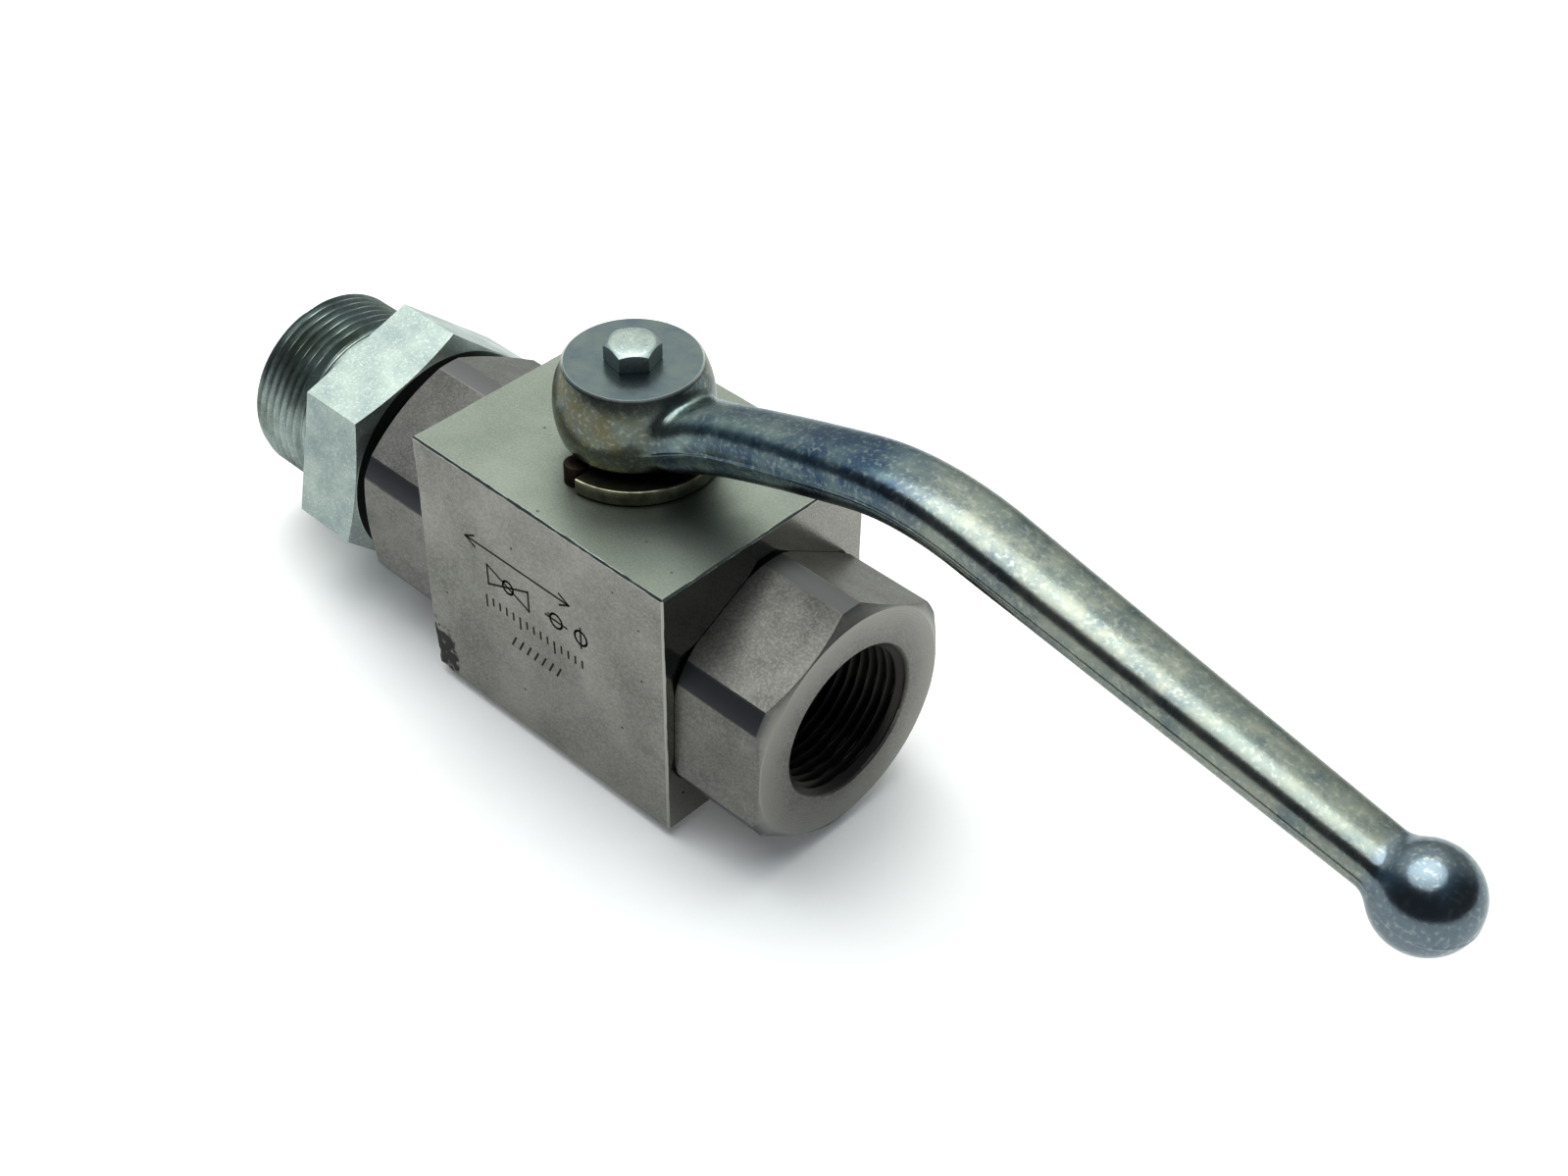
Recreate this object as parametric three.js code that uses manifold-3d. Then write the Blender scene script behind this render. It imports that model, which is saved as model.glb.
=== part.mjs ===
// High-pressure block ball valve, nominal bore 25, with an inch-thread stud adapter in its rear port.
// Millimetres. +X runs along the flow towards the free threaded port, +Z runs up the stem, and the
// origin is the middle of the block's bottom face, straight under the stem. The lever is drawn open,
// in line with the flow.

import * as THREE from 'three';
import { ParametricGeometry } from 'three/addons/geometries/ParametricGeometry.js';
import { mergeVertices } from 'three/addons/utils/BufferGeometryUtils.js';
import Module from 'manifold-3d';

const wasm = await Module();
wasm.setup();

// ---------- driving dimensions ----------

const BLOCK_LENGTH = 70;
const BLOCK_WIDTH = 54.4;
const BLOCK_HEIGHT = 60;
const BLOCK_EDGE = 0.5;             // chamfer on every edge of the block
const FLOW_Z = 26.2;                // height of the flow axis over the bottom face
const CHAMBER_RADIUS = 20.6;        // straight bore through the block

const BORE_RADIUS = 12.5;           // nominal bore 25
const BALL_RADIUS = 19;
const BALL_SLOT_FLOOR = 15;         // above the ball's centre
const BALL_SLOT_WIDTH = 8.4;

const CONNECTOR_FACE = 57.4;        // from the stem axis to each port face
const CONNECTOR_FLATS = 50;
const CONNECTOR_BAR_RADIUS = 27.5;  // the round bar that the flats are milled on
const CONNECTOR_FACE_RADIUS = 24.7;
const CONNECTOR_INNER_END = 14;
const SEAT_POCKET_RADIUS = 18.8;
const SEAT_POCKET_END = 20.3;
const SPIGOT_RADIUS = 20.3;
const PORT_DEPTH = 20;
const PORT_MINOR_RADIUS = 15.15;    // one-inch parallel pipe thread
const PORT_MAJOR_RADIUS = 16.62;
const PORT_MOUTH_RADIUS = 17;
const PIPE_PITCH = 2.309;           // eleven threads to the inch
const FRONT_TURN = -1.7;            // degrees: where each connector stopped when it was tightened
const REAR_TURN = -1.7;

const SEAL_GROOVE = { start: 29.2, end: 33.0, radius: 18.3 };

const ADAPTER_FLATS = 50;
const ADAPTER_TURN = -11.8;         // degrees, off the connectors' flats
const ADAPTER_SHOULDER = -60.7;     // valve side of the hexagon
const ADAPTER_HEX_END = -78.3;
const ADAPTER_END = -102.2;
const ADAPTER_THREAD_START = -85.2;
const ADAPTER_THREAD_RADIUS = 20.95;
const ADAPTER_THREAD_ROOT = 19.5;
const ADAPTER_CONE_RADIUS = 16.4;

const STEM_RADIUS = 7;
const STEM_BORE_RADIUS = 7.08;
const STEM_SQUARE = 11;
const STEM_TOP = 78.6;
const SHOULDER_RADIUS = 8.9;
const SHOULDER_BORE_RADIUS = 9.3;
const SHOULDER_TOP = 49.4;
const SHOULDER_BORE_TOP = 51;

const DISC_RADIUS = 17.1;
const DISC_BOTTOM = 60.1;
const DISC_TOP = 63.5;
const DISC_NOTCH_RADIUS = 11;
const DISC_NOTCH_END = -86.3;       // degrees from +X: the edge that meets the pin when open
const PIN_RADIUS = 2.5;
const PIN_CIRCLE = 14;
const PIN_AZIMUTH = -97.5;
const PIN_TOP = 64.4;
const LEVER_SWING = 90;

const HUB_BOTTOM = 65;
const HUB_TOP = 82;
const HUB_TOP_RADIUS = 13.5;
const HUB_BULGE_RADIUS = 15.67;
const HUB_BULGE_Z = 72.9;
const HUB_WEB = 3;                  // metal left over the square socket, under the screw head

// ---------- geometry helpers ----------

const radians = THREE.MathUtils.degToRad;
const FINE = 36;                    // sides of a turned surface
const COARSE = 28;                  // sides of a hidden ring

// A closed three.js geometry as a solid, its shared vertices merged and its pole slivers dropped.
function solid(geometry) {
  const bare = geometry.clone();
  bare.deleteAttribute('normal');
  bare.deleteAttribute('uv');
  const merged = mergeVertices(bare, 1e-4);
  const index = merged.index.array;
  const triangles = [];
  for (let i = 0; i < index.length; i += 3) {
    const [a, b, c] = [index[i], index[i + 1], index[i + 2]];
    if (a !== b && b !== c && c !== a) triangles.push(a, b, c);
  }
  return new wasm.Manifold(new wasm.Mesh({
    numProp: 3,
    vertProperties: Float32Array.from(merged.attributes.position.array),
    triVerts: Uint32Array.from(triangles),
  }));
}

function geometryOf(manifold) {
  const mesh = manifold.getMesh();
  const geometry = new THREE.BufferGeometry();
  geometry.setAttribute('position', new THREE.BufferAttribute(Float32Array.from(mesh.vertProperties), 3));
  geometry.setIndex(Array.from(mesh.triVerts));
  return geometry;
}

// A closed outline of [radius, height] pairs turned about the Z axis.
function turnedZ(outline, segments = FINE) {
  const points = outline.map(([r, z]) => new THREE.Vector2(r, z));
  const closes = outline[0][0] === 0 && outline.at(-1)[0] === 0;
  if (!closes) points.push(points[0].clone());
  const area = points.reduce((sum, p, i) => {
    const q = points[(i + 1) % points.length];
    return sum + p.x * q.y - q.x * p.y;
  }, 0);
  if (area < 0) points.reverse();
  return new THREE.LatheGeometry(points, segments).rotateX(Math.PI / 2);
}

// The same about the X axis, from [x, radius] pairs, standing at the height of the flow axis.
function turnedX(outline, segments = FINE) {
  const geometry = turnedZ(outline.map(([x, r]) => [r, x]), segments);
  return geometry.rotateY(Math.PI / 2).translate(0, 0, FLOW_Z);
}

function box(size, centre) {
  return new THREE.BoxGeometry(...size).translate(...centre);
}

// A hexagonal bar along X, two of its flats facing -Y and +Y before it is turned.
function hexBarX(flats, xFrom, xTo, turn) {
  const bar = new THREE.CylinderGeometry(flats / Math.sqrt(3), flats / Math.sqrt(3), xTo - xFrom, 6);
  bar.rotateZ(Math.PI / 2).rotateX(radians(turn));
  return bar.translate((xFrom + xTo) / 2, 0, FLOW_Z);
}

// V-shaped rings cut into (or standing on) a bore or shaft, one per thread turn.
function threadOutline(xFrom, xTo, crest, root) {
  const turns = Math.floor((xTo - xFrom) / PIPE_PITCH);
  const points = [];
  for (let turn = 0; turn < turns; turn++) {
    const x = xFrom + turn * PIPE_PITCH;
    points.push([x, crest], [x + PIPE_PITCH / 2, root]);
  }
  points.push([xFrom + turns * PIPE_PITCH, crest]);
  return points;
}

function pinCylinder(radius, zFrom, zTo, x, y, segments = 24) {
  const pin = new THREE.CylinderGeometry(radius, radius, zTo - zFrom, segments);
  return pin.rotateX(Math.PI / 2).translate(x, y, (zFrom + zTo) / 2);
}

// A ring of round section about the X axis (or the Z axis when `upright`).
function ring(centreRadius, thickness, at, upright = false) {
  const torus = new THREE.TorusGeometry(centreRadius, thickness / 2, 6, COARSE);
  if (upright) return torus.translate(0, 0, at);
  return torus.rotateY(Math.PI / 2).translate(at, 0, FLOW_Z);
}

// ---------- materials ----------

const finishes = {
  bareSteel: { color: 0x8f8d8a, roughness: 0.45, metalness: 0.9 },
  zincPlate: { color: 0xaab3b4, roughness: 0.3, metalness: 0.95 },
  passivatedSteel: { color: 0x6f7a80, roughness: 0.35, metalness: 0.9 },
  groundSteel: { color: 0xb8bcc0, roughness: 0.15, metalness: 1.0 },
  brownedSteel: { color: 0x5a4c3f, roughness: 0.5, metalness: 0.85 },
  springSteel: { color: 0x34363a, roughness: 0.4, metalness: 0.9 },
  acetal: { color: 0xd8d6cc, roughness: 0.55, metalness: 0 },
  rubber: { color: 0x16171a, roughness: 0.75, metalness: 0 },
};

const valve = new THREE.Group();

function add(name, geometry, finish) {
  const mesh = new THREE.Mesh(geometry, new THREE.MeshStandardMaterial(finishes[finish]));
  mesh.name = name;
  valve.add(mesh);
}

// ---------- block ----------

// Sawn and milled square block: one bore straight through for the two connectors, a stepped
// stem bore from above, and a blind hole for the stop pin.
const pinX = PIN_CIRCLE * Math.cos(radians(PIN_AZIMUTH));
const pinY = PIN_CIRCLE * Math.sin(radians(PIN_AZIMUTH));
const PIN_SEAT = 54;

function blockSolid() {
  const [halfLength, halfWidth] = [BLOCK_LENGTH / 2 - BLOCK_EDGE, BLOCK_WIDTH / 2 - BLOCK_EDGE];
  const outline = new THREE.Shape([
    new THREE.Vector2(-halfLength, -halfWidth),
    new THREE.Vector2(halfLength, -halfWidth),
    new THREE.Vector2(halfLength, halfWidth),
    new THREE.Vector2(-halfLength, halfWidth),
  ]);
  const blank = new THREE.ExtrudeGeometry(outline, {
    depth: BLOCK_HEIGHT - 2 * BLOCK_EDGE,
    bevelEnabled: true,
    bevelThickness: BLOCK_EDGE,
    bevelSize: BLOCK_EDGE,
    bevelSegments: 1,
  }).translate(0, 0, BLOCK_EDGE);
  const past = 2;
  const lead = 1.2;                 // chamfer at each mouth of the bore
  const mouth = BLOCK_LENGTH / 2;
  const bore = turnedX([
    [-mouth - past, 0],
    [-mouth - past, CHAMBER_RADIUS + lead + past],
    [-mouth + lead, CHAMBER_RADIUS],
    [mouth - lead, CHAMBER_RADIUS],
    [mouth + past, CHAMBER_RADIUS + lead + past],
    [mouth + past, 0],
  ]);
  const stemBore = turnedZ([
    [0, FLOW_Z],
    [SHOULDER_BORE_RADIUS, FLOW_Z],
    [SHOULDER_BORE_RADIUS, SHOULDER_BORE_TOP],
    [STEM_BORE_RADIUS, SHOULDER_BORE_TOP],
    [STEM_BORE_RADIUS, BLOCK_HEIGHT + past],
    [0, BLOCK_HEIGHT + past],
  ]);
  const pinHole = pinCylinder(PIN_RADIUS + 0.06, PIN_SEAT - 1, BLOCK_HEIGHT + past, pinX, pinY);
  return solid(blank).subtract(solid(bore)).subtract(solid(stemBore)).subtract(solid(pinHole));
}
add('valve_block', geometryOf(blockSolid()), 'bareSteel');

// ---------- connectors ----------

// A screwed-in end piece: hexagonal head milled on round bar, a spigot that reaches in to hold the
// seat, and the female pipe thread. It is drawn as the front one.
function connectorSolid(turn, portOutline) {
  const start = BLOCK_LENGTH / 2 + 0.1;
  const backChamfer = 0.7;
  const faceChamfer = (CONNECTOR_BAR_RADIUS - CONNECTOR_FACE_RADIUS) * 0.55;
  const bar = turnedX([
    [start, 0],
    [start, CONNECTOR_BAR_RADIUS - 2 * backChamfer],
    [start + backChamfer, CONNECTOR_BAR_RADIUS],
    [CONNECTOR_FACE - faceChamfer, CONNECTOR_BAR_RADIUS],
    [CONNECTOR_FACE, CONNECTOR_FACE_RADIUS],
    [CONNECTOR_FACE, 0],
  ], 48);
  const head = solid(hexBarX(CONNECTOR_FLATS, start - 1, CONNECTOR_FACE + 1, turn)).intersect(solid(bar));
  const spigot = turnedX([
    [CONNECTOR_INNER_END, 0],
    [CONNECTOR_INNER_END, SPIGOT_RADIUS - 0.5],
    [CONNECTOR_INNER_END + 0.5, SPIGOT_RADIUS],
    [SEAL_GROOVE.start, SPIGOT_RADIUS],
    [SEAL_GROOVE.start, SEAL_GROOVE.radius],
    [SEAL_GROOVE.end, SEAL_GROOVE.radius],
    [SEAL_GROOVE.end, SPIGOT_RADIUS],
    [start + 1, SPIGOT_RADIUS],
    [start + 1, 0],
  ]);
  const past = 1;
  const portEnd = CONNECTOR_FACE - PORT_DEPTH;
  const passage = turnedX([
    [CONNECTOR_INNER_END - past, 0],
    [CONNECTOR_INNER_END - past, SEAT_POCKET_RADIUS],
    [SEAT_POCKET_END, SEAT_POCKET_RADIUS],
    [SEAT_POCKET_END, BORE_RADIUS],
    [portEnd - 1.5, BORE_RADIUS],
    ...portOutline,
    [CONNECTOR_FACE + past, 0],
  ]);
  return head.add(solid(spigot)).subtract(solid(passage));
}

const threadMouth = [
  [CONNECTOR_FACE - (PORT_MOUTH_RADIUS - PORT_MINOR_RADIUS), PORT_MINOR_RADIUS],
  [CONNECTOR_FACE, PORT_MOUTH_RADIUS],
  [CONNECTOR_FACE + 1, PORT_MOUTH_RADIUS + 1],
];
const threadFloor = CONNECTOR_FACE - PORT_DEPTH + 1.5;
const openPort = [
  [CONNECTOR_FACE - PORT_DEPTH, PORT_MINOR_RADIUS],
  ...threadOutline(threadFloor, CONNECTOR_FACE - 2, PORT_MINOR_RADIUS, PORT_MAJOR_RADIUS),
  ...threadMouth,
];
// The rear port's thread is filled by the adapter, so it is a plain bore at the thread's mean size.
const FILLED_PORT_RADIUS = 15.9;
const filledPort = [
  [CONNECTOR_FACE - PORT_DEPTH, FILLED_PORT_RADIUS],
  [CONNECTOR_FACE - (PORT_MOUTH_RADIUS - FILLED_PORT_RADIUS), FILLED_PORT_RADIUS],
  ...threadMouth.slice(1),
];

const front = geometryOf(connectorSolid(FRONT_TURN, openPort));
const rear = geometryOf(connectorSolid(REAR_TURN, filledPort)).rotateZ(Math.PI);
add('front_connector', front, 'bareSteel');
add('rear_connector', rear, 'bareSteel');

// ---------- seats and seals, one set at each side of the ball ----------

// An acetal ring whose inner edge is bored to the ball's curve.
function seatGeometry() {
  const [inner, outer, back] = [12.8, 18.5, 18.2];
  const clearance = 0.25;
  const lip = 15.9;
  const steps = 4;
  const curve = [];
  for (let i = 0; i <= steps; i++) {
    const r = inner + (lip - inner) * i / steps;
    curve.push([Math.sqrt((BALL_RADIUS + clearance) ** 2 - r * r), r]);
  }
  const nose = curve.at(-1)[0];
  const rim = [[nose, outer - 0.9], [nose + 0.9, outer], [back, outer]];
  return turnedX([[back, inner], ...curve, ...rim], COARSE);
}

const BACKUP_WIDTH = 1.1;
const backupOutline = [
  [SEAL_GROOVE.end - 0.2 - BACKUP_WIDTH, SEAL_GROOVE.radius + 0.2],
  [SEAL_GROOVE.end - 0.2, SEAL_GROOVE.radius + 0.2],
  [SEAL_GROOVE.end - 0.2, CHAMBER_RADIUS - 0.25],
  [SEAL_GROOVE.end - 0.2 - BACKUP_WIDTH, CHAMBER_RADIUS - 0.25],
];
const SEAT_RING_THICKNESS = 1.6;
const SEAT_RING_RADIUS = 17.4;
const SEAT_RING_X = 19.25;
const BODY_RING_THICKNESS = 1.8;
const BODY_RING_RADIUS = 19.45;
const BODY_RING_X = SEAL_GROOVE.start + 0.2 + BODY_RING_THICKNESS / 2;

for (const [side, half] of [['front', 0], ['rear', Math.PI]]) {
  add(`${side}_seat`, seatGeometry().rotateZ(half), 'acetal');
  add(`${side}_seat_o_ring`, ring(SEAT_RING_RADIUS, SEAT_RING_THICKNESS, SEAT_RING_X).rotateZ(half), 'rubber');
  const bodyRing = ring(BODY_RING_RADIUS, BODY_RING_THICKNESS, BODY_RING_X).rotateZ(half);
  add(`${side}_connector_o_ring`, bodyRing, 'rubber');
  add(`${side}_connector_backup_ring`, turnedX(backupOutline, COARSE).rotateZ(half), 'acetal');
}

// ---------- ball ----------

function ballSolid() {
  const sphere = new THREE.SphereGeometry(BALL_RADIUS, 32, 18).rotateX(Math.PI / 2).translate(0, 0, FLOW_Z);
  const bore = turnedX([
    [-BALL_RADIUS - 1, 0],
    [-BALL_RADIUS - 1, BORE_RADIUS],
    [BALL_RADIUS + 1, BORE_RADIUS],
    [BALL_RADIUS + 1, 0],
  ]);
  const slotDepth = BALL_RADIUS - BALL_SLOT_FLOOR + 1;
  const slotCentre = FLOW_Z + BALL_SLOT_FLOOR + slotDepth / 2;
  const slot = box([BALL_SLOT_WIDTH, 2 * BALL_RADIUS, slotDepth], [0, 0, slotCentre]);
  return solid(sphere).subtract(solid(bore)).subtract(solid(slot));
}
add('ball', geometryOf(ballSolid()), 'groundSteel');

// ---------- stem and its seals ----------

const LOWER_GROOVE = [52, 53.7];
const UPPER_GROOVE = [54.8, 57.6];
const STEM_GROOVE_RADIUS = 5.6;
const CLIP_GROOVE = [63.6, 64.9];
const CLIP_GROOVE_RADIUS = 6.6;
const SCREW_HOLE_RADIUS = 2.7;
const SCREW_HOLE_FLOOR = 68;

// Fitted from inside, so that pressure holds its shoulder against the block: a tang for the ball's
// slot, the shoulder, a round shank with seal grooves, and a square for the disc and the lever.
function stemSolid() {
  const tangTop = 47;
  const tang = box([BALL_SLOT_WIDTH - 0.8, 13, tangTop - 41.6], [0, 0, (tangTop + 41.6) / 2]);
  const shank = turnedZ([
    [0, tangTop - 0.1],
    [SHOULDER_RADIUS, tangTop - 0.1],
    [SHOULDER_RADIUS, SHOULDER_TOP],
    [STEM_RADIUS, SHOULDER_TOP],
    [STEM_RADIUS, LOWER_GROOVE[0]],
    [STEM_GROOVE_RADIUS, LOWER_GROOVE[0]],
    [STEM_GROOVE_RADIUS, LOWER_GROOVE[1]],
    [STEM_RADIUS, LOWER_GROOVE[1]],
    [STEM_RADIUS, UPPER_GROOVE[0]],
    [STEM_GROOVE_RADIUS, UPPER_GROOVE[0]],
    [STEM_GROOVE_RADIUS, UPPER_GROOVE[1]],
    [STEM_RADIUS, UPPER_GROOVE[1]],
    [STEM_RADIUS, CLIP_GROOVE[0]],
    [CLIP_GROOVE_RADIUS, CLIP_GROOVE[0]],
    [CLIP_GROOVE_RADIUS, CLIP_GROOVE[1]],
    [STEM_RADIUS, CLIP_GROOVE[1]],
    [STEM_RADIUS, STEM_TOP - 0.8],
    [STEM_RADIUS - 0.8, STEM_TOP],
    [0, STEM_TOP],
  ]);
  const squareStart = BLOCK_HEIGHT - 0.2;
  const squareLength = STEM_TOP + 1 - squareStart;
  const round = box([40, 40, squareStart - 30], [0, 0, (squareStart + 30) / 2]);
  const square = box([STEM_SQUARE, STEM_SQUARE, squareLength + 1], [0, 0, squareStart + squareLength / 2]);
  const envelope = solid(round).add(solid(square));
  const screwHole = pinCylinder(SCREW_HOLE_RADIUS + 0.3, SCREW_HOLE_FLOOR, STEM_TOP + 1, 0, 0);
  return solid(shank).intersect(envelope).add(solid(tang)).subtract(solid(screwHole));
}
add('stem', geometryOf(stemSolid()), 'groundSteel');

add('stem_thrust_washer', turnedZ([
  [STEM_RADIUS + 0.15, SHOULDER_TOP + 0.15],
  [SHOULDER_RADIUS, SHOULDER_TOP + 0.15],
  [SHOULDER_RADIUS, SHOULDER_BORE_TOP - 0.1],
  [STEM_RADIUS + 0.15, SHOULDER_BORE_TOP - 0.1],
], COARSE), 'acetal');

const STEM_RING_THICKNESS = 1.2;
const stemRingRadius = (STEM_GROOVE_RADIUS + STEM_BORE_RADIUS) / 2;
const ringsInStem = [
  ['stem_lower_o_ring', (LOWER_GROOVE[0] + LOWER_GROOVE[1]) / 2],
  ['stem_upper_o_ring', UPPER_GROOVE[0] + 0.2 + STEM_RING_THICKNESS / 2],
];
for (const [name, height] of ringsInStem) {
  add(name, ring(stemRingRadius, STEM_RING_THICKNESS, height, true), 'rubber');
}
add('stem_backup_ring', turnedZ([
  [STEM_GROOVE_RADIUS + 0.1, UPPER_GROOVE[1] - 1.1],
  [STEM_BORE_RADIUS - 0.12, UPPER_GROOVE[1] - 1.1],
  [STEM_BORE_RADIUS - 0.12, UPPER_GROOVE[1] - 0.1],
  [STEM_GROOVE_RADIUS + 0.1, UPPER_GROOVE[1] - 0.1],
], COARSE), 'acetal');

// ---------- stop disc, stop pin and retaining ring ----------

const SOCKET = STEM_SQUARE + 0.3;
const squareSocket = (zFrom, zTo) => box([SOCKET, SOCKET, zTo - zFrom], [0, 0, (zFrom + zTo) / 2]);

// Disc with a sector cut out: the sector's two edges meet the pin at the ends of the lever's swing.
function discSolid() {
  const pinWidth = 2 * THREE.MathUtils.radToDeg(Math.asin(PIN_RADIUS / PIN_CIRCLE));
  const restGap = DISC_NOTCH_END - PIN_AZIMUTH - pinWidth / 2;
  const from = radians(DISC_NOTCH_END - LEVER_SWING - pinWidth - 2 * restGap);
  const to = radians(DISC_NOTCH_END);
  const reach = 2 * DISC_RADIUS;
  const notch = new THREE.Shape();
  notch.absarc(0, 0, DISC_NOTCH_RADIUS, from, to, false);
  notch.absarc(0, 0, reach, to, from, true);
  const cutter = new THREE.ExtrudeGeometry(notch, {
    depth: 10,
    bevelEnabled: false,
    curveSegments: 24,
  }).translate(0, 0, DISC_BOTTOM - 3);
  const edge = 0.3;
  const disc = turnedZ([
    [0, DISC_BOTTOM],
    [DISC_RADIUS - edge, DISC_BOTTOM],
    [DISC_RADIUS, DISC_BOTTOM + edge],
    [DISC_RADIUS, DISC_TOP - edge],
    [DISC_RADIUS - edge, DISC_TOP],
    [0, DISC_TOP],
  ], 48);
  return solid(disc).subtract(solid(cutter)).subtract(solid(squareSocket(DISC_BOTTOM - 1, DISC_TOP + 1)));
}
add('stop_disc', geometryOf(discSolid()), 'zincPlate');

add('stop_pin', pinCylinder(PIN_RADIUS, PIN_SEAT, PIN_TOP, pinX, pinY), 'brownedSteel');

// Spring ring in the stem's groove: it holds the disc down and keeps the stem up in its bore.
function retainingRingGeometry() {
  const [inner, outer, thickness] = [6.75, 9.4, 1];
  const gap = radians(24);
  const outline = new THREE.Shape();
  outline.absarc(0, 0, outer, gap / 2, 2 * Math.PI - gap / 2, false);
  outline.absarc(0, 0, inner, 2 * Math.PI - gap / 2, gap / 2, true);
  return new THREE.ExtrudeGeometry(outline, {
    depth: thickness,
    bevelEnabled: false,
    curveSegments: 24,
  }).rotateZ(Math.PI / 2).translate(0, 0, CLIP_GROOVE[0] + 0.15);
}
add('stem_retaining_ring', geometryOf(solid(retainingRingGeometry())), 'springSteel');

// ---------- lever ----------

const ball = { x: 173.5, z: 68.5, radius: 9.25 };
const elbowStart = [57.2, 86.2];
const elbowEnd = [86, 86.9];
const centreLine = new THREE.CurvePath();
const inPlane = ([x, z]) => new THREE.Vector3(x, 0, z);
centreLine.add(new THREE.QuadraticBezierCurve3(inPlane([8, 69]), inPlane([29, 78.1]), inPlane(elbowStart)));
centreLine.add(new THREE.QuadraticBezierCurve3(inPlane(elbowStart), inPlane([70.8, 90.1]), inPlane(elbowEnd)));
centreLine.add(new THREE.LineCurve3(inPlane(elbowEnd), inPlane([ball.x, ball.z])));

// Half-width and half-height of the forged arm: a thick root, widest at the elbow, slim at the ball.
const armStations = [
  [8, 6.4, 3.6],
  [14, 7.4, 6.4],
  [26, 6.3, 6.6],
  [60, 7.4, 5.9],
  [86, 7.6, 5.7],
  [174, 5.8, 4.7],
];
function armSection(x) {
  const next = Math.max(1, armStations.findIndex((station) => station[0] >= x));
  const [[x0, w0, h0], [x1, w1, h1]] = [armStations[next - 1], armStations[next]];
  const t = THREE.MathUtils.clamp((x - x0) / (x1 - x0), 0, 1);
  return [THREE.MathUtils.lerp(w0, w1, t), THREE.MathUtils.lerp(h0, h1, t)];
}

// An oval carried along the centre line; its two ends close on the line itself.
function armGeometry() {
  const across = new THREE.Vector3(0, 1, 0);
  const stacks = 24;
  const point = new THREE.Vector3();
  const tangent = new THREE.Vector3();
  const surface = (u, v, target) => {
    const along = THREE.MathUtils.clamp((v * stacks - 1) / (stacks - 2), 0, 1);
    const closing = v === 0 || v === 1 ? 0 : 1;
    centreLine.getPointAt(along, point);
    centreLine.getTangentAt(along, tangent);
    const up = new THREE.Vector3().crossVectors(tangent, across);
    const [halfWidth, halfHeight] = armSection(point.x);
    const angle = u < 1 ? 2 * Math.PI * u : 0;
    target.copy(point);
    target.addScaledVector(across, closing * halfWidth * Math.cos(angle));
    target.addScaledVector(up, closing * halfHeight * Math.sin(angle));
  };
  return new ParametricGeometry(surface, 16, stacks);
}

// Barrel-shaped hub, machined flat on top.
function hubGeometry() {
  const bulge = (z) => {
    const reach = z > HUB_BULGE_Z ? HUB_TOP - HUB_BULGE_Z : HUB_BULGE_Z - HUB_BOTTOM;
    const drop = z > HUB_BULGE_Z ? HUB_BULGE_RADIUS - HUB_TOP_RADIUS : 1.3;
    return HUB_BULGE_RADIUS - drop * ((z - HUB_BULGE_Z) / reach) ** 2;
  };
  const outline = [[0, HUB_BOTTOM], [12.4, HUB_BOTTOM], [13.8, HUB_BOTTOM + 0.7]];
  const steps = 6;
  for (let i = 0; i <= steps; i++) {
    const z = HUB_BOTTOM + 1.8 + (HUB_TOP - HUB_BOTTOM - 1.8) * i / steps;
    outline.push([bulge(z), z]);
  }
  outline.push([0, HUB_TOP]);
  return turnedZ(outline);
}

function leverSolid() {
  const knob = new THREE.SphereGeometry(ball.radius, 24, 16).translate(ball.x, 0, ball.z);
  const screwClearance = pinCylinder(SCREW_HOLE_RADIUS + 0.6, HUB_TOP - HUB_WEB - 1, HUB_TOP + 1, 0, 0);
  return solid(hubGeometry())
    .add(solid(armGeometry()))
    .add(solid(knob))
    .subtract(solid(squareSocket(HUB_BOTTOM - 1, HUB_TOP - HUB_WEB)))
    .subtract(solid(screwClearance));
}
add('lever', geometryOf(leverSolid()), 'passivatedSteel');

// ---------- lever screw ----------

function screwSolid() {
  const [flats, height, shankEnd] = [9.6, 4, SCREW_HOLE_FLOOR + 1];
  const seat = HUB_TOP + 0.05;
  const corner = flats / Math.sqrt(3);
  const hexagon = new THREE.CylinderGeometry(corner, corner, height, 6);
  hexagon.rotateX(Math.PI / 2).rotateZ(radians(19)).translate(0, 0, seat + height / 2);
  const crown = turnedZ([
    [0, seat - 1],
    [corner + 1, seat - 1],
    [corner + 1, seat + height - 1.1],
    [flats / 2 - 0.4, seat + height],
    [0, seat + height],
  ]);
  const shank = pinCylinder(SCREW_HOLE_RADIUS, shankEnd, seat + 1, 0, 0);
  return solid(hexagon).intersect(solid(crown)).add(solid(shank));
}
add('lever_screw', geometryOf(screwSolid()), 'zincPlate');

// ---------- stud adapter in the rear port ----------

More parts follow.
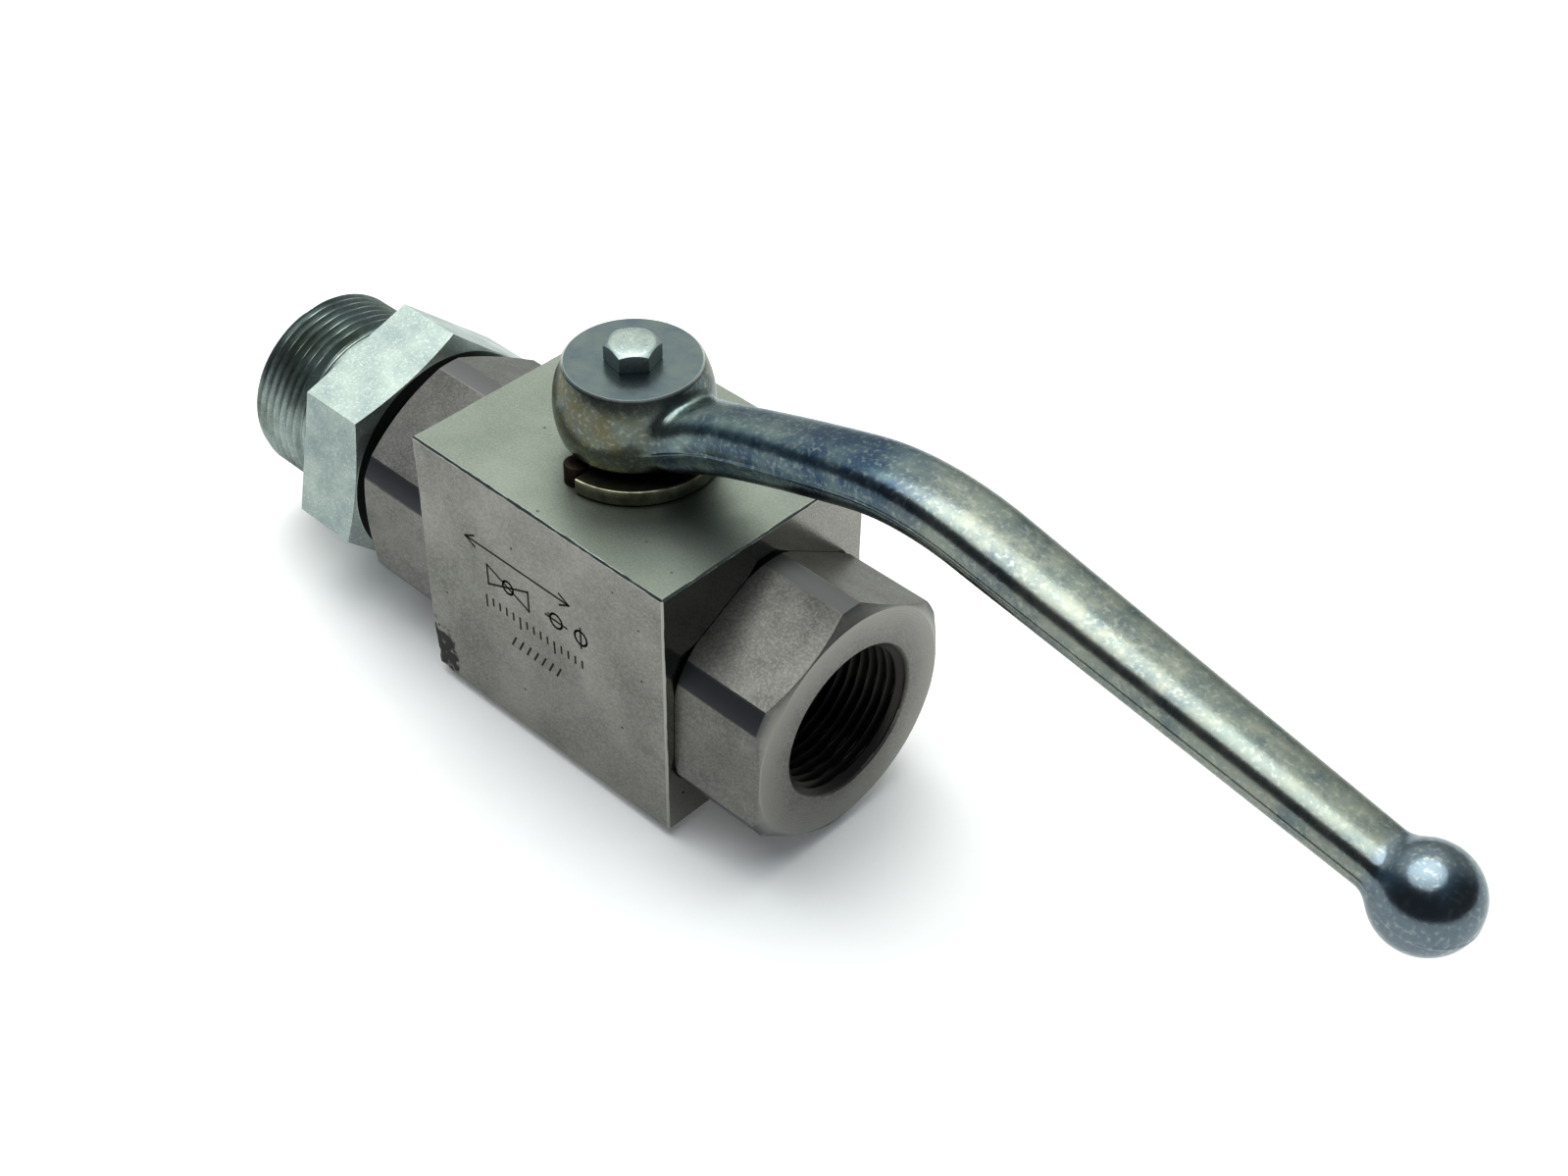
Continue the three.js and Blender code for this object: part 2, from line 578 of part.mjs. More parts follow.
function adapterSolid() {
  const corner = ADAPTER_FLATS / Math.sqrt(3);
  const faceRadius = ADAPTER_FLATS / 2 - 0.3;
  const chamfer = (corner - faceRadius) * 0.53;
  const crown = turnedX([
    [ADAPTER_HEX_END, 0],
    [ADAPTER_HEX_END, corner + 1],
    [ADAPTER_SHOULDER - chamfer + 0.5, corner + 1],
    [ADAPTER_SHOULDER, faceRadius],
    [ADAPTER_SHOULDER, 0],
  ], 48);
  const hexagon = solid(hexBarX(ADAPTER_FLATS, ADAPTER_HEX_END, ADAPTER_SHOULDER + 1, ADAPTER_TURN));
  const innerEnd = -CONNECTOR_FACE + PORT_DEPTH - 2;
  const shankRadius = FILLED_PORT_RADIUS - 0.3;
  const inner = turnedX([
    [ADAPTER_SHOULDER - 1, 0],
    [ADAPTER_SHOULDER - 1, shankRadius],
    [innerEnd - 1, shankRadius],
    [innerEnd, shankRadius - 1],
    [innerEnd, 0],
  ]);
  const endChamfer = ADAPTER_THREAD_RADIUS - ADAPTER_THREAD_ROOT;
  const outer = turnedX([
    [ADAPTER_END, 0],
    [ADAPTER_END, ADAPTER_THREAD_ROOT],
    ...threadOutline(ADAPTER_END + endChamfer, ADAPTER_THREAD_START, ADAPTER_THREAD_RADIUS, ADAPTER_THREAD_ROOT),
    [ADAPTER_THREAD_START, ADAPTER_THREAD_ROOT - 0.2],
    [ADAPTER_HEX_END + 2.6, ADAPTER_THREAD_ROOT - 0.2],
    [ADAPTER_HEX_END + 1, ADAPTER_THREAD_RADIUS],
    [ADAPTER_HEX_END + 1, 0],
  ]);
  const coneDepth = (ADAPTER_CONE_RADIUS - BORE_RADIUS) * Math.sqrt(3);
  const past = 1;
  const passage = turnedX([
    [ADAPTER_END - past, 0],
    [ADAPTER_END - past, ADAPTER_CONE_RADIUS + past / Math.sqrt(3)],
    [ADAPTER_END + coneDepth, BORE_RADIUS],
    [innerEnd + past, BORE_RADIUS],
    [innerEnd + past, 0],
  ]);
  return hexagon.intersect(solid(crown)).add(solid(inner)).add(solid(outer)).subtract(solid(passage));
}
add('stud_adapter', geometryOf(adapterSolid()), 'zincPlate');

// Bonded seal squeezed between the adapter's hexagon and the rear port face: a flat metal ring with
// a rubber lip moulded inside it.
const sealFrom = ADAPTER_SHOULDER + 0.05;
const sealTo = -CONNECTOR_FACE - 0.05;
add('bonded_seal_ring', turnedX([
  [sealFrom, 18.7],
  [sealTo, 18.7],
  [sealTo, 21.4],
  [sealFrom, 21.4],
], COARSE), 'springSteel');
add('bonded_seal_lip', turnedX([
  [sealFrom, 17.2],
  [(sealFrom + sealTo) / 2, 16.9],
  [sealTo, 17.2],
  [sealTo, 18.6],
  [sealFrom, 18.6],
], COARSE), 'rubber');

export default valve;
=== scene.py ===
"""A high-pressure block ball valve with its lever open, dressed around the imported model.

Shapes are worked out in millimetres and turned to metres as they become meshes."""

import math

import bpy
import numpy as np
from mathutils import Matrix, Vector


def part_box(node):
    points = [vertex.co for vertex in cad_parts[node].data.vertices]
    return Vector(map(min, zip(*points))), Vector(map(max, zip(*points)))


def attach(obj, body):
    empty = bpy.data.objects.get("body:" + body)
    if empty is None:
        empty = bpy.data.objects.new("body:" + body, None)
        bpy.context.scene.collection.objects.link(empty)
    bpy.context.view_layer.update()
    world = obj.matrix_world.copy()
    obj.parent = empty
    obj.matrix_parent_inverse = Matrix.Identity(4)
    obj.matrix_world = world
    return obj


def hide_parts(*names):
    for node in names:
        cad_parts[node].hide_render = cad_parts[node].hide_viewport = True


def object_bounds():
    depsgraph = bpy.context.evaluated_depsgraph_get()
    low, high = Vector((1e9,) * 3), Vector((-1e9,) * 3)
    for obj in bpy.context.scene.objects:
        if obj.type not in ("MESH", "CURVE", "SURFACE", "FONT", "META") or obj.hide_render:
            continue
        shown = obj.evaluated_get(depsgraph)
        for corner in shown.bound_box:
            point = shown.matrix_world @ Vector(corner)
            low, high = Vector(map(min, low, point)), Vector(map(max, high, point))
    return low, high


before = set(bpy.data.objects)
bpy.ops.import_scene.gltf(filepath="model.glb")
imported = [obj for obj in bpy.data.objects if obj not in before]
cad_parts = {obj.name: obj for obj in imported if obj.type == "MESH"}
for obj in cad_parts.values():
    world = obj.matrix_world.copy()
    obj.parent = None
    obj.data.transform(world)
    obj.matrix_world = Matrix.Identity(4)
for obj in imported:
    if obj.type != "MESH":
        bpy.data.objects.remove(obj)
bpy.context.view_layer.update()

MM = 0.001


# ---- Camera ---------------------------------------------------------------------------------
# A hand-held view from above the free port's corner, the long marked side to the left and the
# lever coming towards the lower right.
camera_place = Vector((256.66, -234.31, 327.64)) * MM
camera_aim = Vector((32.45, 7.66, 40.0)) * MM
camera_roll = math.radians(0.99)
camera_data = bpy.data.cameras.new("camera")
camera_data.sensor_width = 36.0
camera_data.lens = 51.78
camera = bpy.data.objects.new("camera", camera_data)
bpy.context.collection.objects.link(camera)
look = (camera_aim - camera_place).to_track_quat("-Z", "Y").to_matrix().to_4x4()
camera.matrix_world = Matrix.Translation(camera_place) @ look @ Matrix.Rotation(camera_roll, 4, "Z")
bpy.context.scene.camera = camera


# ---- Valve block ----------------------------------------------------------------------------
# A sawn length of square carbon-steel bar, milled on all six sides and bored through for the two
# connectors. It is bare metal: satin, warm grey, oiled, with small stains, nicks and a bruised corner.
low, high = (np.array(corner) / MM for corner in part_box("valve_block"))
block_centre = (low + high) / 2
block_half = (high - low) / 2
flow_height = 26.2


def skin(name, grid, close_u=False, close_v=True, caps=False):
    """Mesh of a surface given as points on a grid (u, v, xyz) in millimetres: neighbours are joined
    by two triangles, equal points are merged, and a closed surface is turned to face outwards. With
    caps, the first and last rows are closed by fans to their own middles."""
    grid = np.asarray(grid, float)
    if caps:
        ends = grid[[0, -1]].mean(axis=1, keepdims=True).repeat(grid.shape[1], axis=1)
        grid = np.concatenate([ends[:1], grid, ends[1:]])
    rows, columns = grid.shape[:2]
    index = np.arange(rows * columns).reshape(rows, columns)
    if close_u:
        index = np.vstack([index, index[:1]])
    if close_v:
        index = np.hstack([index, index[:, :1]])
    a, b, c, d = index[:-1, :-1], index[1:, :-1], index[1:, 1:], index[:-1, 1:]
    faces = np.concatenate([np.stack([a, b, c], -1).reshape(-1, 3), np.stack([a, c, d], -1).reshape(-1, 3)])
    points, same = np.unique(np.round(grid.reshape(-1, 3), 5), axis=0, return_inverse=True)
    faces = same.reshape(-1)[faces]
    whole = (faces[:, 0] != faces[:, 1]) & (faces[:, 1] != faces[:, 2]) & (faces[:, 2] != faces[:, 0])
    faces = faces[whole]
    corners = points[faces]
    volume = np.einsum("ij,ij->i", corners[:, 0], np.cross(corners[:, 1], corners[:, 2])).sum()
    if volume < 0:
        faces = faces[:, ::-1]
    mesh = bpy.data.meshes.new(name)
    mesh.from_pydata((points * MM).tolist(), [], faces.tolist())
    piece = bpy.data.objects.new(name, mesh)
    bpy.context.collection.objects.link(piece)
    return piece


def combine(piece, tool, how):
    """Join, cut or intersect a closed piece with another closed shape, which is then thrown away."""
    step = piece.modifiers.new("combine", "BOOLEAN")
    step.operation = how
    step.solver = "MANIFOLD"
    step.object = tool
    bpy.context.view_layer.update()
    result = piece.evaluated_get(bpy.context.evaluated_depsgraph_get())
    mesh = bpy.data.meshes.new_from_object(result)
    mesh.name = piece.name
    mesh.materials.clear()
    piece.modifiers.clear()
    piece.data = mesh
    bpy.data.objects.remove(tool)


def points_of(piece):
    """The piece's vertices as an array in millimetres."""
    flat = np.empty(len(piece.data.vertices) * 3)
    piece.data.vertices.foreach_get("co", flat)
    return flat.reshape(-1, 3) / MM


def paint(piece, name, values):
    """Store one number per vertex under a name that materials can read."""
    layer = piece.data.attributes.new(name, "FLOAT", "POINT")
    layer.data.foreach_set("value", np.asarray(values, np.float32))


def smooth(piece, crease):
    """Shade smooth, except across edges that turn by more than the crease angle."""
    piece.data.shade_smooth()
    piece.data.set_sharp_from_angle(angle=math.radians(crease))


def waves(points, size, count=5, seed=1):
    """Smooth seeded unevenness from -1 to 1: a sum of sine waves of about the given size, each in a
    random direction with a random start."""
    source = np.random.default_rng(seed)
    total = np.zeros(points.shape[:-1])
    for _ in range(count):
        direction = source.normal(size=3)
        direction *= source.uniform(0.6, 1.6) * 2 * np.pi / size / np.linalg.norm(direction)
        total += np.sin(points @ direction + source.uniform(0, 2 * np.pi))
    return total / count ** 0.5 / 1.6


def stops(length, fine, coarse):
    """Distances from 0 to length, close together near both ends and coarse between."""
    near = np.array([0, 0.12, 0.25, 0.38, 0.5, 0.65, 0.85, 1.2, 1.8]) * fine
    middle = np.linspace(near[-1], length - near[-1], max(2, int(length / coarse)))
    return np.concatenate([near[:-1], middle, length - near[-2::-1]])


def block_surface():
    """A box as one skin: u runs round the plan, v up the sides and in to the middle of the top and
    bottom. Each edge is then cut back at 45 degrees: where two face distances add up to less than
    the local chamfer, the shortfall is shared between them. The chamfer wavers, and grows at a bruise."""
    across, along, up = 2 * block_half[1], 2 * block_half[0], 2 * block_half[2]
    run_x, run_y, run_z = stops(along, 1, 1.5), stops(across, 1, 1.5), stops(up, 1, 1.5)
    ring = np.concatenate([
        np.stack([run_x[:-1] - along / 2, np.full(len(run_x) - 1, -across / 2)], 1),
        np.stack([np.full(len(run_y) - 1, along / 2), run_y[:-1] - across / 2], 1),
        np.stack([along / 2 - run_x[:-1], np.full(len(run_x) - 1, across / 2)], 1),
        np.stack([np.full(len(run_y) - 1, -along / 2), across / 2 - run_y[:-1]], 1),
    ])
    inward = np.concatenate([stops(2.2, 0.6, 3)[:8] / block_half[1], np.linspace(0.1, 1, 8)])
    rows = [np.column_stack([ring * (1 - s), np.zeros(len(ring))]) for s in inward[::-1]]
    rows += [np.column_stack([ring, np.full(len(ring), z)]) for z in run_z[1:-1]]
    rows += [np.column_stack([ring * (1 - s), np.full(len(ring), up)]) for s in inward]
    grid = np.array(rows)
    bruise = np.exp(-np.linalg.norm((grid - [-34, -27, 3.5]) / [3.0, 3.0, 4.5], axis=-1) ** 2)
    chamfer = 0.36 + 0.08 * waves(grid, 9, seed=2) + 0.07 * waves(grid, 2.2, seed=3)
    chamfer += bruise * (0.9 + 0.5 * waves(grid, 1.6, seed=4))
    away = np.stack([along / 2 - np.abs(grid[..., 0]), across / 2 - np.abs(grid[..., 1]),
                     up / 2 - np.abs(grid[..., 2] - up / 2)], -1)
    for first, second in ((0, 1), (1, 2), (0, 2)):
        short = np.clip(chamfer - away[..., first] - away[..., second], 0, None) / 2
        away[..., first] += short
        away[..., second] += short
    side = np.sign(np.stack([grid[..., 0], grid[..., 1], grid[..., 2] - up / 2], -1))
    half = np.array([along / 2, across / 2, up / 2])
    return side * (half - away) + [0, 0, up / 2]


def turned_grid(outline, axis, sides=192, change=None):
    """Grid of a turned shape: outline points (along, radius) carried round the axis. `change`, if
    given, adds to the radius as a function of distance along and angle."""
    outline = np.asarray(outline, float)
    angle = np.linspace(0, 2 * np.pi, sides, endpoint=False)
    along = np.repeat(outline[:, :1], sides, axis=1)
    radius = np.repeat(outline[:, 1:], sides, axis=1)
    if change is not None:
        radius = radius + np.where(radius > 0, change(along, angle[None, :]), 0)
    if axis == "x":
        return np.stack([along, -radius * np.cos(angle), flow_height + radius * np.sin(angle)], -1)
    return np.stack([radius * np.cos(angle), radius * np.sin(angle), along], -1)


def turned(name, outline, axis, sides=192, change=None, solid=False):
    """A turned piece. Its outline closes on itself, or with solid=True ends on the axis."""
    grid = turned_grid(outline, axis, sides, change)
    return skin(name, grid, close_u=not solid, close_v=True)


block = skin("milled_block", block_surface())
through = [[-40, 0], [-40, 20.6], [40, 20.6], [40, 0]]
combine(block, turned("bore", through, "x", 128, solid=True), "DIFFERENCE")
combine(block, turned("stem_bore", [[26, 0], [26, 9.3], [51, 9.3], [51, 7.08], [62, 7.08], [62, 0]], "z", 96,
                      solid=True), "DIFFERENCE")
pin_low, pin_high = (np.array(corner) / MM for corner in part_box("stop_pin"))
pin_centre = (pin_low + pin_high) / 2
pin_hole = turned_grid([[53, 0], [53, 2.56], [62, 2.56], [62, 0]], "z", 48)
pin_hole = pin_hole + [pin_centre[0], pin_centre[1], 0]
combine(block, skin("pin_hole", pin_hole), "DIFFERENCE")
smooth(block, 20)
places = points_of(block)
inset = np.sort(block_half - np.abs(places - block_centre), axis=1)
# The edge mask marks the chamfered edges, shown lighter: part wear, part painted highlight.
paint(block, "edge", (inset[:, 1] < 0.5) & (inset[:, 0] + inset[:, 1] > 0.25))
bruised = np.exp(-np.linalg.norm((places - [-33.5, -27.2, 4.5]) / [5.5, 2.0, 7.5], axis=1) ** 2)
paint(block, "bruised", np.clip(bruised * (1 + 0.8 * waves(places, 2.5, seed=5)), 0, 1))


def linear(code):
    """An sRGB hex colour as the linear RGBA that shaders use."""
    channels = [int(code[i:i + 2], 16) / 255 for i in (1, 3, 5)]
    return [c / 12.92 if c <= 0.04045 else ((c + 0.055) / 1.055) ** 2.4 for c in channels] + [1.0]


def node(tree, kind, inputs=None, **settings):
    """Add a shader node: settings are its own, inputs are values or the outputs that feed them."""
    made = tree.nodes.new("ShaderNode" + kind)
    for name, value in settings.items():
        setattr(made, name, value)
    for socket, value in (inputs or {}).items():
        if isinstance(value, bpy.types.NodeSocket):
            tree.links.new(value, made.inputs[socket])
        else:
            made.inputs[socket].default_value = value
    return made


def finish(name, metallic):
    """A new material: returns it, its node tree, its surface shader and the piece's own coordinates."""
    made = bpy.data.materials.new(name)
    made.use_nodes = True
    tree = made.node_tree
    shader = tree.nodes["Principled BSDF"]
    shader.inputs["Metallic"].default_value = metallic
    place = node(tree, "TexCoord").outputs["Object"]
    return made, tree, shader, place


def blend(tree, amount, first, second):
    """Colour between two colours; the amount and colours are values or outputs."""
    return node(tree, "Mix", {0: amount, 6: first, 7: second}, data_type="RGBA").outputs[2]


def remap(tree, value, low_in, high_in, low_out, high_out):
    """A number moved from one range to another and held inside it."""
    return node(tree, "MapRange", {"Value": value, "From Min": low_in, "From Max": high_in,
                                   "To Min": low_out, "To Max": high_out}).outputs[0]


def noise(tree, place, size, detail, rough=0.5):
    """Cloudy unevenness whose largest patches are about the given size in millimetres."""
    return node(tree, "TexNoise", {"Vector": place, "Scale": 1 / (size * MM), "Detail": detail,
                                   "Roughness": rough}).outputs["Fac"]


def product(tree, first, second):
    """Two numbers multiplied."""
    return node(tree, "Math", {0: first, 1: second}, operation="MULTIPLY").outputs[0]


def painted(tree, name):
    """The number painted on the mesh under this name."""
    return node(tree, "Attribute", attribute_name=name).outputs["Fac"]


def roughen(tree, shader, height, strength, depth):
    """Raise the surface by a pattern, its full height in millimetres."""
    bump = node(tree, "Bump", {"Height": height, "Strength": strength, "Distance": depth * MM})
    tree.links.new(bump.outputs[0], shader.inputs["Normal"])


# Bare milled carbon steel: satin, with grain left by the cutter, oily stains and dark nicks, lighter edges
# (part wear, part painted highlight) and a green-grey painted reflection on the top face.
milled, tree, shader, place = finish("bare_milled_steel", 1.0)
grain = noise(tree, place, 0.5, 4.0)
stain = noise(tree, place, 16, 5.0, 0.6)
spot_spacing = 7
spot = node(tree, "TexVoronoi", {"Vector": place, "Scale": 1 / (spot_spacing * MM),
                                 "Randomness": 1.0}).outputs["Distance"]
tint = blend(tree, remap(tree, stain, 0.35, 0.68, 0, 1), linear("#999893"), linear("#83837e"))
tint = blend(tree, remap(tree, grain, 0.35, 0.7, 0, 0.5), tint, linear("#b4b3ad"))
tint = blend(tree, remap(tree, spot, 0.035, 0.06, 0.85, 0), tint, linear("#2c2926"))
bruise_part = painted(tree, "bruised")
ragged = noise(tree, place, 1.6, 4.0)
ragged = product(tree, bruise_part, ragged)
tint = blend(tree, remap(tree, ragged, 0.16, 0.24, 0, 0.85), tint, linear("#2b2a2a"))
# Lighter chamfered edges: partly worn metal, partly a painted highlight along them.
edge_wear_and_highlight = painted(tree, "edge")
tint = blend(tree, edge_wear_and_highlight, tint, linear("#a9a9a4"))
apart = node(tree, "SeparateXYZ", {"Vector": place})
# The top face is tinted green-grey: a painted reflection of the light it faces.
tint = blend(tree, remap(tree, apart.outputs["Z"], 59.7 * MM, 59.9 * MM, 0, 0.4), tint, linear("#8e9f94"))
end_part = remap(tree, node(tree, "Math", {0: apart.outputs["X"]}, operation="ABSOLUTE").outputs[0],
                 34.8 * MM, 34.95 * MM, 0, 1)
rough = node(tree, "Mix", {0: end_part, 2: remap(tree, stain, 0.3, 0.7, 0.40, 0.50),
                           3: remap(tree, stain, 0.3, 0.7, 0.16, 0.22)}).outputs[0]
rough = node(tree, "Mix", {0: edge_wear_and_highlight, 2: rough, 3: 0.25}).outputs[0]
tree.links.new(tint, shader.inputs["Base Color"])
tree.links.new(rough, shader.inputs["Roughness"])
roughen(tree, shader, grain, 0.25, 0.05)

block.data.materials.append(milled)
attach(block, "valve_body")
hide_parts("valve_block")


# ---- Etched marking ---------------------------------------------------------------------------
# Plain technical signs etched dark on one side of the block: the way of flow, the sign for a valve,
# the lever's two positions and a scale of strokes. They carry no words or numbers.
stroke_width, stroke_proud = 0.46, 0.02


def circle(x, z, radius):
    """Segments round a circle on the marked side."""
    angle = np.linspace(0, 2 * np.pi, 21)
    ring = np.stack([x + radius * np.cos(angle), z + radius * np.sin(angle)], 1)
    return np.stack([ring[:-1], ring[1:]], 1)


def strokes(name, segments):
    """Each straight segment as a thin raised bar on the marked side: its four corners at two depths."""
    ends = np.asarray(segments, float)
    run = ends[:, 1] - ends[:, 0]
    run /= np.linalg.norm(run, axis=1, keepdims=True)
    side = np.stack([-run[:, 1], run[:, 0]], 1) * stroke_width / 2
    tip = run * stroke_width / 2
    corners = np.stack([ends[:, 0] - tip - side, ends[:, 1] + tip - side, ends[:, 1] + tip + side,
                        ends[:, 0] - tip + side], 1)
    depth = np.array([block_half[1] - 0.05, block_half[1] + stroke_proud])
    points = np.concatenate([np.stack([corners[..., 0], np.full(corners.shape[:2], -d), corners[..., 1]], -1)
                             for d in depth], axis=1)
    faces = np.array([[0, 3, 2, 1], [4, 5, 6, 7], [0, 1, 5, 4], [1, 2, 6, 5], [2, 3, 7, 6], [3, 0, 4, 7]])
    faces = (faces[None] + 8 * np.arange(len(ends))[:, None, None]).reshape(-1, 4)
    mesh = bpy.data.meshes.new(name)
    mesh.from_pydata((points.reshape(-1, 3) * MM).tolist(), [], faces.tolist())
    piece = bpy.data.objects.new(name, mesh)
    bpy.context.collection.objects.link(piece)
    return piece


flow_arrow = [[(-21, 43), (9, 43)], [(9, 43), (6.4, 44.4)], [(9, 43), (6.4, 41.6)],
              [(-21, 43), (-18.4, 44.4)], [(-21, 43), (-18.4, 41.6)]]
valve_sign = [[(-15, 39), (-15, 34)], [(-15, 39), (-3, 34)], [(-15, 34), (-3, 39)], [(-3, 39), (-3, 34)]]
lever_open = [[(2.0, 36.5), (8.0, 36.5)]]
lever_shut = [[(12.0, 39.0), (12.0, 34.0)]]
scale_at = np.arange(-16, 13, 2.0)
scale_low = np.where(np.arange(len(scale_at)) % 5 == 0, 27.6, 28.8)
scale_top = np.full(len(scale_at), 30.4)
scale = np.stack([np.column_stack([scale_at, scale_low]), np.column_stack([scale_at, scale_top])], 1)
hatch_at = np.arange(-9, 6, 2.2)
hatch = np.stack([np.column_stack([hatch_at, np.full(len(hatch_at), 21.6)]),
                  np.column_stack([hatch_at + 1.2, np.full(len(hatch_at), 24.0)])], 1)
marking = strokes("etched_signs", np.concatenate([flow_arrow, valve_sign, lever_open, lever_shut,
                                                  circle(-9, 36.5, 1.5), circle(5, 36.5, 1.7),
                                                  circle(12, 36.5, 1.7), scale, hatch]))

# Etched steel: the acid leaves a dark brown matt stroke, uneven along its length.
etched, tree, shader, place = finish("etched_steel", 0.6)
uneven = noise(tree, place, 0.8, 4.0)
tree.links.new(blend(tree, uneven, linear("#2a241f"), linear("#4e463e")), shader.inputs["Base Color"])
tree.links.new(remap(tree, uneven, 0.3, 0.7, 0.55, 0.75), shader.inputs["Roughness"])
roughen(tree, shader, uneven, 0.3, 0.02)
marking.data.materials.append(etched)
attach(marking, "valve_body")


# ---- Connectors -----------------------------------------------------------------------------
# Two equal end pieces turned from round bar, flats milled on, and screwed into the block. Their
# corners keep narrow strips of the dark bar skin; the port face is turned and the thread cut.
connector_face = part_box("front_connector")[1][0] / MM
head_start = block_half[0] + 0.1
bar_radius = 27.5
flats = 50.0
face_radius = 24.7
pipe_pitch = 25.4 / 11
thread_depth = 1.479
port_minor = 15.15
port_end = connector_face - 20
head_turn = math.radians(-1.7)


def thread(along, angle, start, end, depth, fade=1.2):
    """Height of a right-hand thread over its root: a rounded triangle wave of distance along minus
    one pitch per turn, faded out over the last turn at both ends."""
    phase = (along - pipe_pitch * angle / (2 * np.pi)) / pipe_pitch
    wave = np.arcsin(0.94 * np.cos(2 * np.pi * phase)) / np.arcsin(0.94)
    ease = np.clip((along - start) / fade, 0, 1) * np.clip((end - along) / fade, 0, 1)
    return depth * ease * (0.5 + 0.5 * wave)


def hexagon(width, turn):
    """The six corners of a hexagon as (sideways, up) pairs, two flats sideways before it is turned."""
    corner = np.pi / 6 + np.arange(6) * np.pi / 3 - turn
    return width / math.sqrt(3) * np.stack([-np.cos(corner), np.sin(corner)], 1)


def prism(name, ring, start, end, axis):
    """A bar of the given outline, flat-ended, along X at the height of the flow, or along Z."""
    ring = np.asarray(ring, float)
    if axis == "x":
        rows = [np.column_stack([np.full(len(ring), at), ring + [0, flow_height]]) for at in (start, end)]
    else:
        rows = [np.column_stack([ring, np.full(len(ring), at)]) for at in (start, end)]
    return skin(name, rows, caps=True)


def connector(name):
    """One connector in the front place: the head is bar meeting hexagon, the spigot and the threaded
    bore are turned, and the bore's radius follows the thread."""
    cone = (bar_radius - face_radius) * 0.55
    head = turned(name, [
        [head_start, 12.5], [head_start, bar_radius - 1.3], [head_start + 0.7, bar_radius],
        [connector_face - cone, bar_radius], [connector_face - 0.12, face_radius + 0.2],
        [connector_face, face_radius], [connector_face, 17.05], [connector_face - 0.1, 16.95],
        [connector_face - 1.85, 15.0], [connector_face - 2.2, 12.5]], "x", 360)
    bar = prism("flats", hexagon(flats, head_turn), head_start - 1, connector_face + 1, "x")
    combine(head, bar, "INTERSECT")
    threaded = np.arange(port_end, connector_face + 0.6, pipe_pitch / 14)
    spigot = turned("spigot", [
        [14, 18.8], [14, 19.8], [14.5, 20.3], [29.2, 20.3], [29.2, 18.3], [33.0, 18.3], [33.0, 20.3],
        [head_start + 1, 20.3], [head_start + 1, 22], [connector_face - 2.5, 22],
        [connector_face - 2.5, 12.5], [port_end - 1.5, 12.5], [20.3, 12.5], [20.3, 18.8]], "x", 192)
    combine(head, spigot, "UNION")
    tap = turned("tap", [[port_end - 1.5, 0], [port_end - 1.5, 12.5], [port_end - 0.05, port_minor]]
                 + [[x, port_minor] for x in threaded] + [[connector_face + 0.6, 0]], "x", 240,
                 change=lambda along, angle: np.where(along >= port_end, thread(
                     along, angle, port_end, connector_face + 4, thread_depth), 0), solid=True)
    mouth = turned("mouth", [[connector_face - 4, 0], [connector_face - 4, 13.0], [connector_face, 17.0],
                             [connector_face + 1, 18.0], [connector_face + 1, 0]], "x", 240, solid=True)
    combine(head, tap, "DIFFERENCE")
    combine(head, mouth, "DIFFERENCE")
    return head


def half_turn(piece):
    """Turn a piece half round the stem axis, by its points, to its place at the rear."""
    flat = points_of(piece) * [-1, -1, 1] * MM
    piece.data.vertices.foreach_set("co", flat.ravel())
    piece.data.update()


def head_zones(piece, direction):
    """For each point of a head: whether it lies on a milled flat, its distance from the port's axis
    and its place along it. On a flat, the distance out along the nearest flat's normal is the full
    half width."""
    x, y, z = (points_of(piece) * [direction, direction, 1]).T
    angle = np.arctan2(z - flow_height, -y) + head_turn
    radius = np.hypot(y, z - flow_height)
    nearest = np.round(angle / (np.pi / 3)) * np.pi / 3
    on_flat = np.abs(radius * np.cos(angle - nearest) - flats / 2) < 0.02
    return on_flat, radius, x


front = connector("front_end_piece")
rear = connector("rear_end_piece")
half_turn(rear)

# Turned bar steel: milled flats like the block, dark drawn skin at the corners and fine turning rings
# on the port face. The threaded bore is painted darker as shade, the top skin strip lighter as a painted
# sheen.
turned_steel, tree, shader, place = finish("turned_bar_steel", 1.0)
apart = node(tree, "SeparateXYZ", {"Vector": place})
from_axis = node(tree, "VectorMath", {0: place, 1: (0, 0, flow_height * MM)}, operation="SUBTRACT").outputs[0]
from_axis = node(tree, "VectorMath", {0: from_axis, 1: (0, 1, 1)}, operation="MULTIPLY").outputs[0]
radius = node(tree, "VectorMath", {0: from_axis}, operation="LENGTH").outputs["Value"]
skin_part = painted(tree, "bar_skin")
face_part = painted(tree, "turned_face")
bore_shade_part = painted(tree, "bore")
grain = noise(tree, place, 0.5, 4.0)
stain = noise(tree, place, 9, 6.0, 0.65)
ringed = node(tree, "CombineXYZ", {"X": radius})
rings = noise(tree, ringed.outputs[0], 0.3, 3.0)
tint = blend(tree, remap(tree, stain, 0.35, 0.7, 0, 1), linear("#868581"), linear("#6e6d6a"))
tint = blend(tree, remap(tree, grain, 0.4, 0.7, 0, 0.35), tint, linear("#aeada9"))
# The skin strips are painted lighter higher up: a painted sheen on the top strip, which faces the light.
painted_sheen = remap(tree, apart.outputs["Z"], 40 * MM, 46 * MM, 0, 1)
tint = blend(tree, skin_part, tint, blend(tree, painted_sheen, linear("#65666a"), linear("#757677")))
tint = blend(tree, face_part, tint, blend(tree, rings, linear("#858480"), linear("#afaea9")))
# The threaded bore is painted darker: painted shade inside the port.
tint = blend(tree, bore_shade_part, tint, linear("#4f4d4a"))
tree.links.new(tint, shader.inputs["Base Color"])
tree.links.new(remap(tree, face_part, 0, 1, 0.42, 0.3), shader.inputs["Roughness"])
height = node(tree, "Mix", {0: face_part, 2: grain, 3: rings}).outputs[0]
roughen(tree, shader, height, 0.3, 0.05)

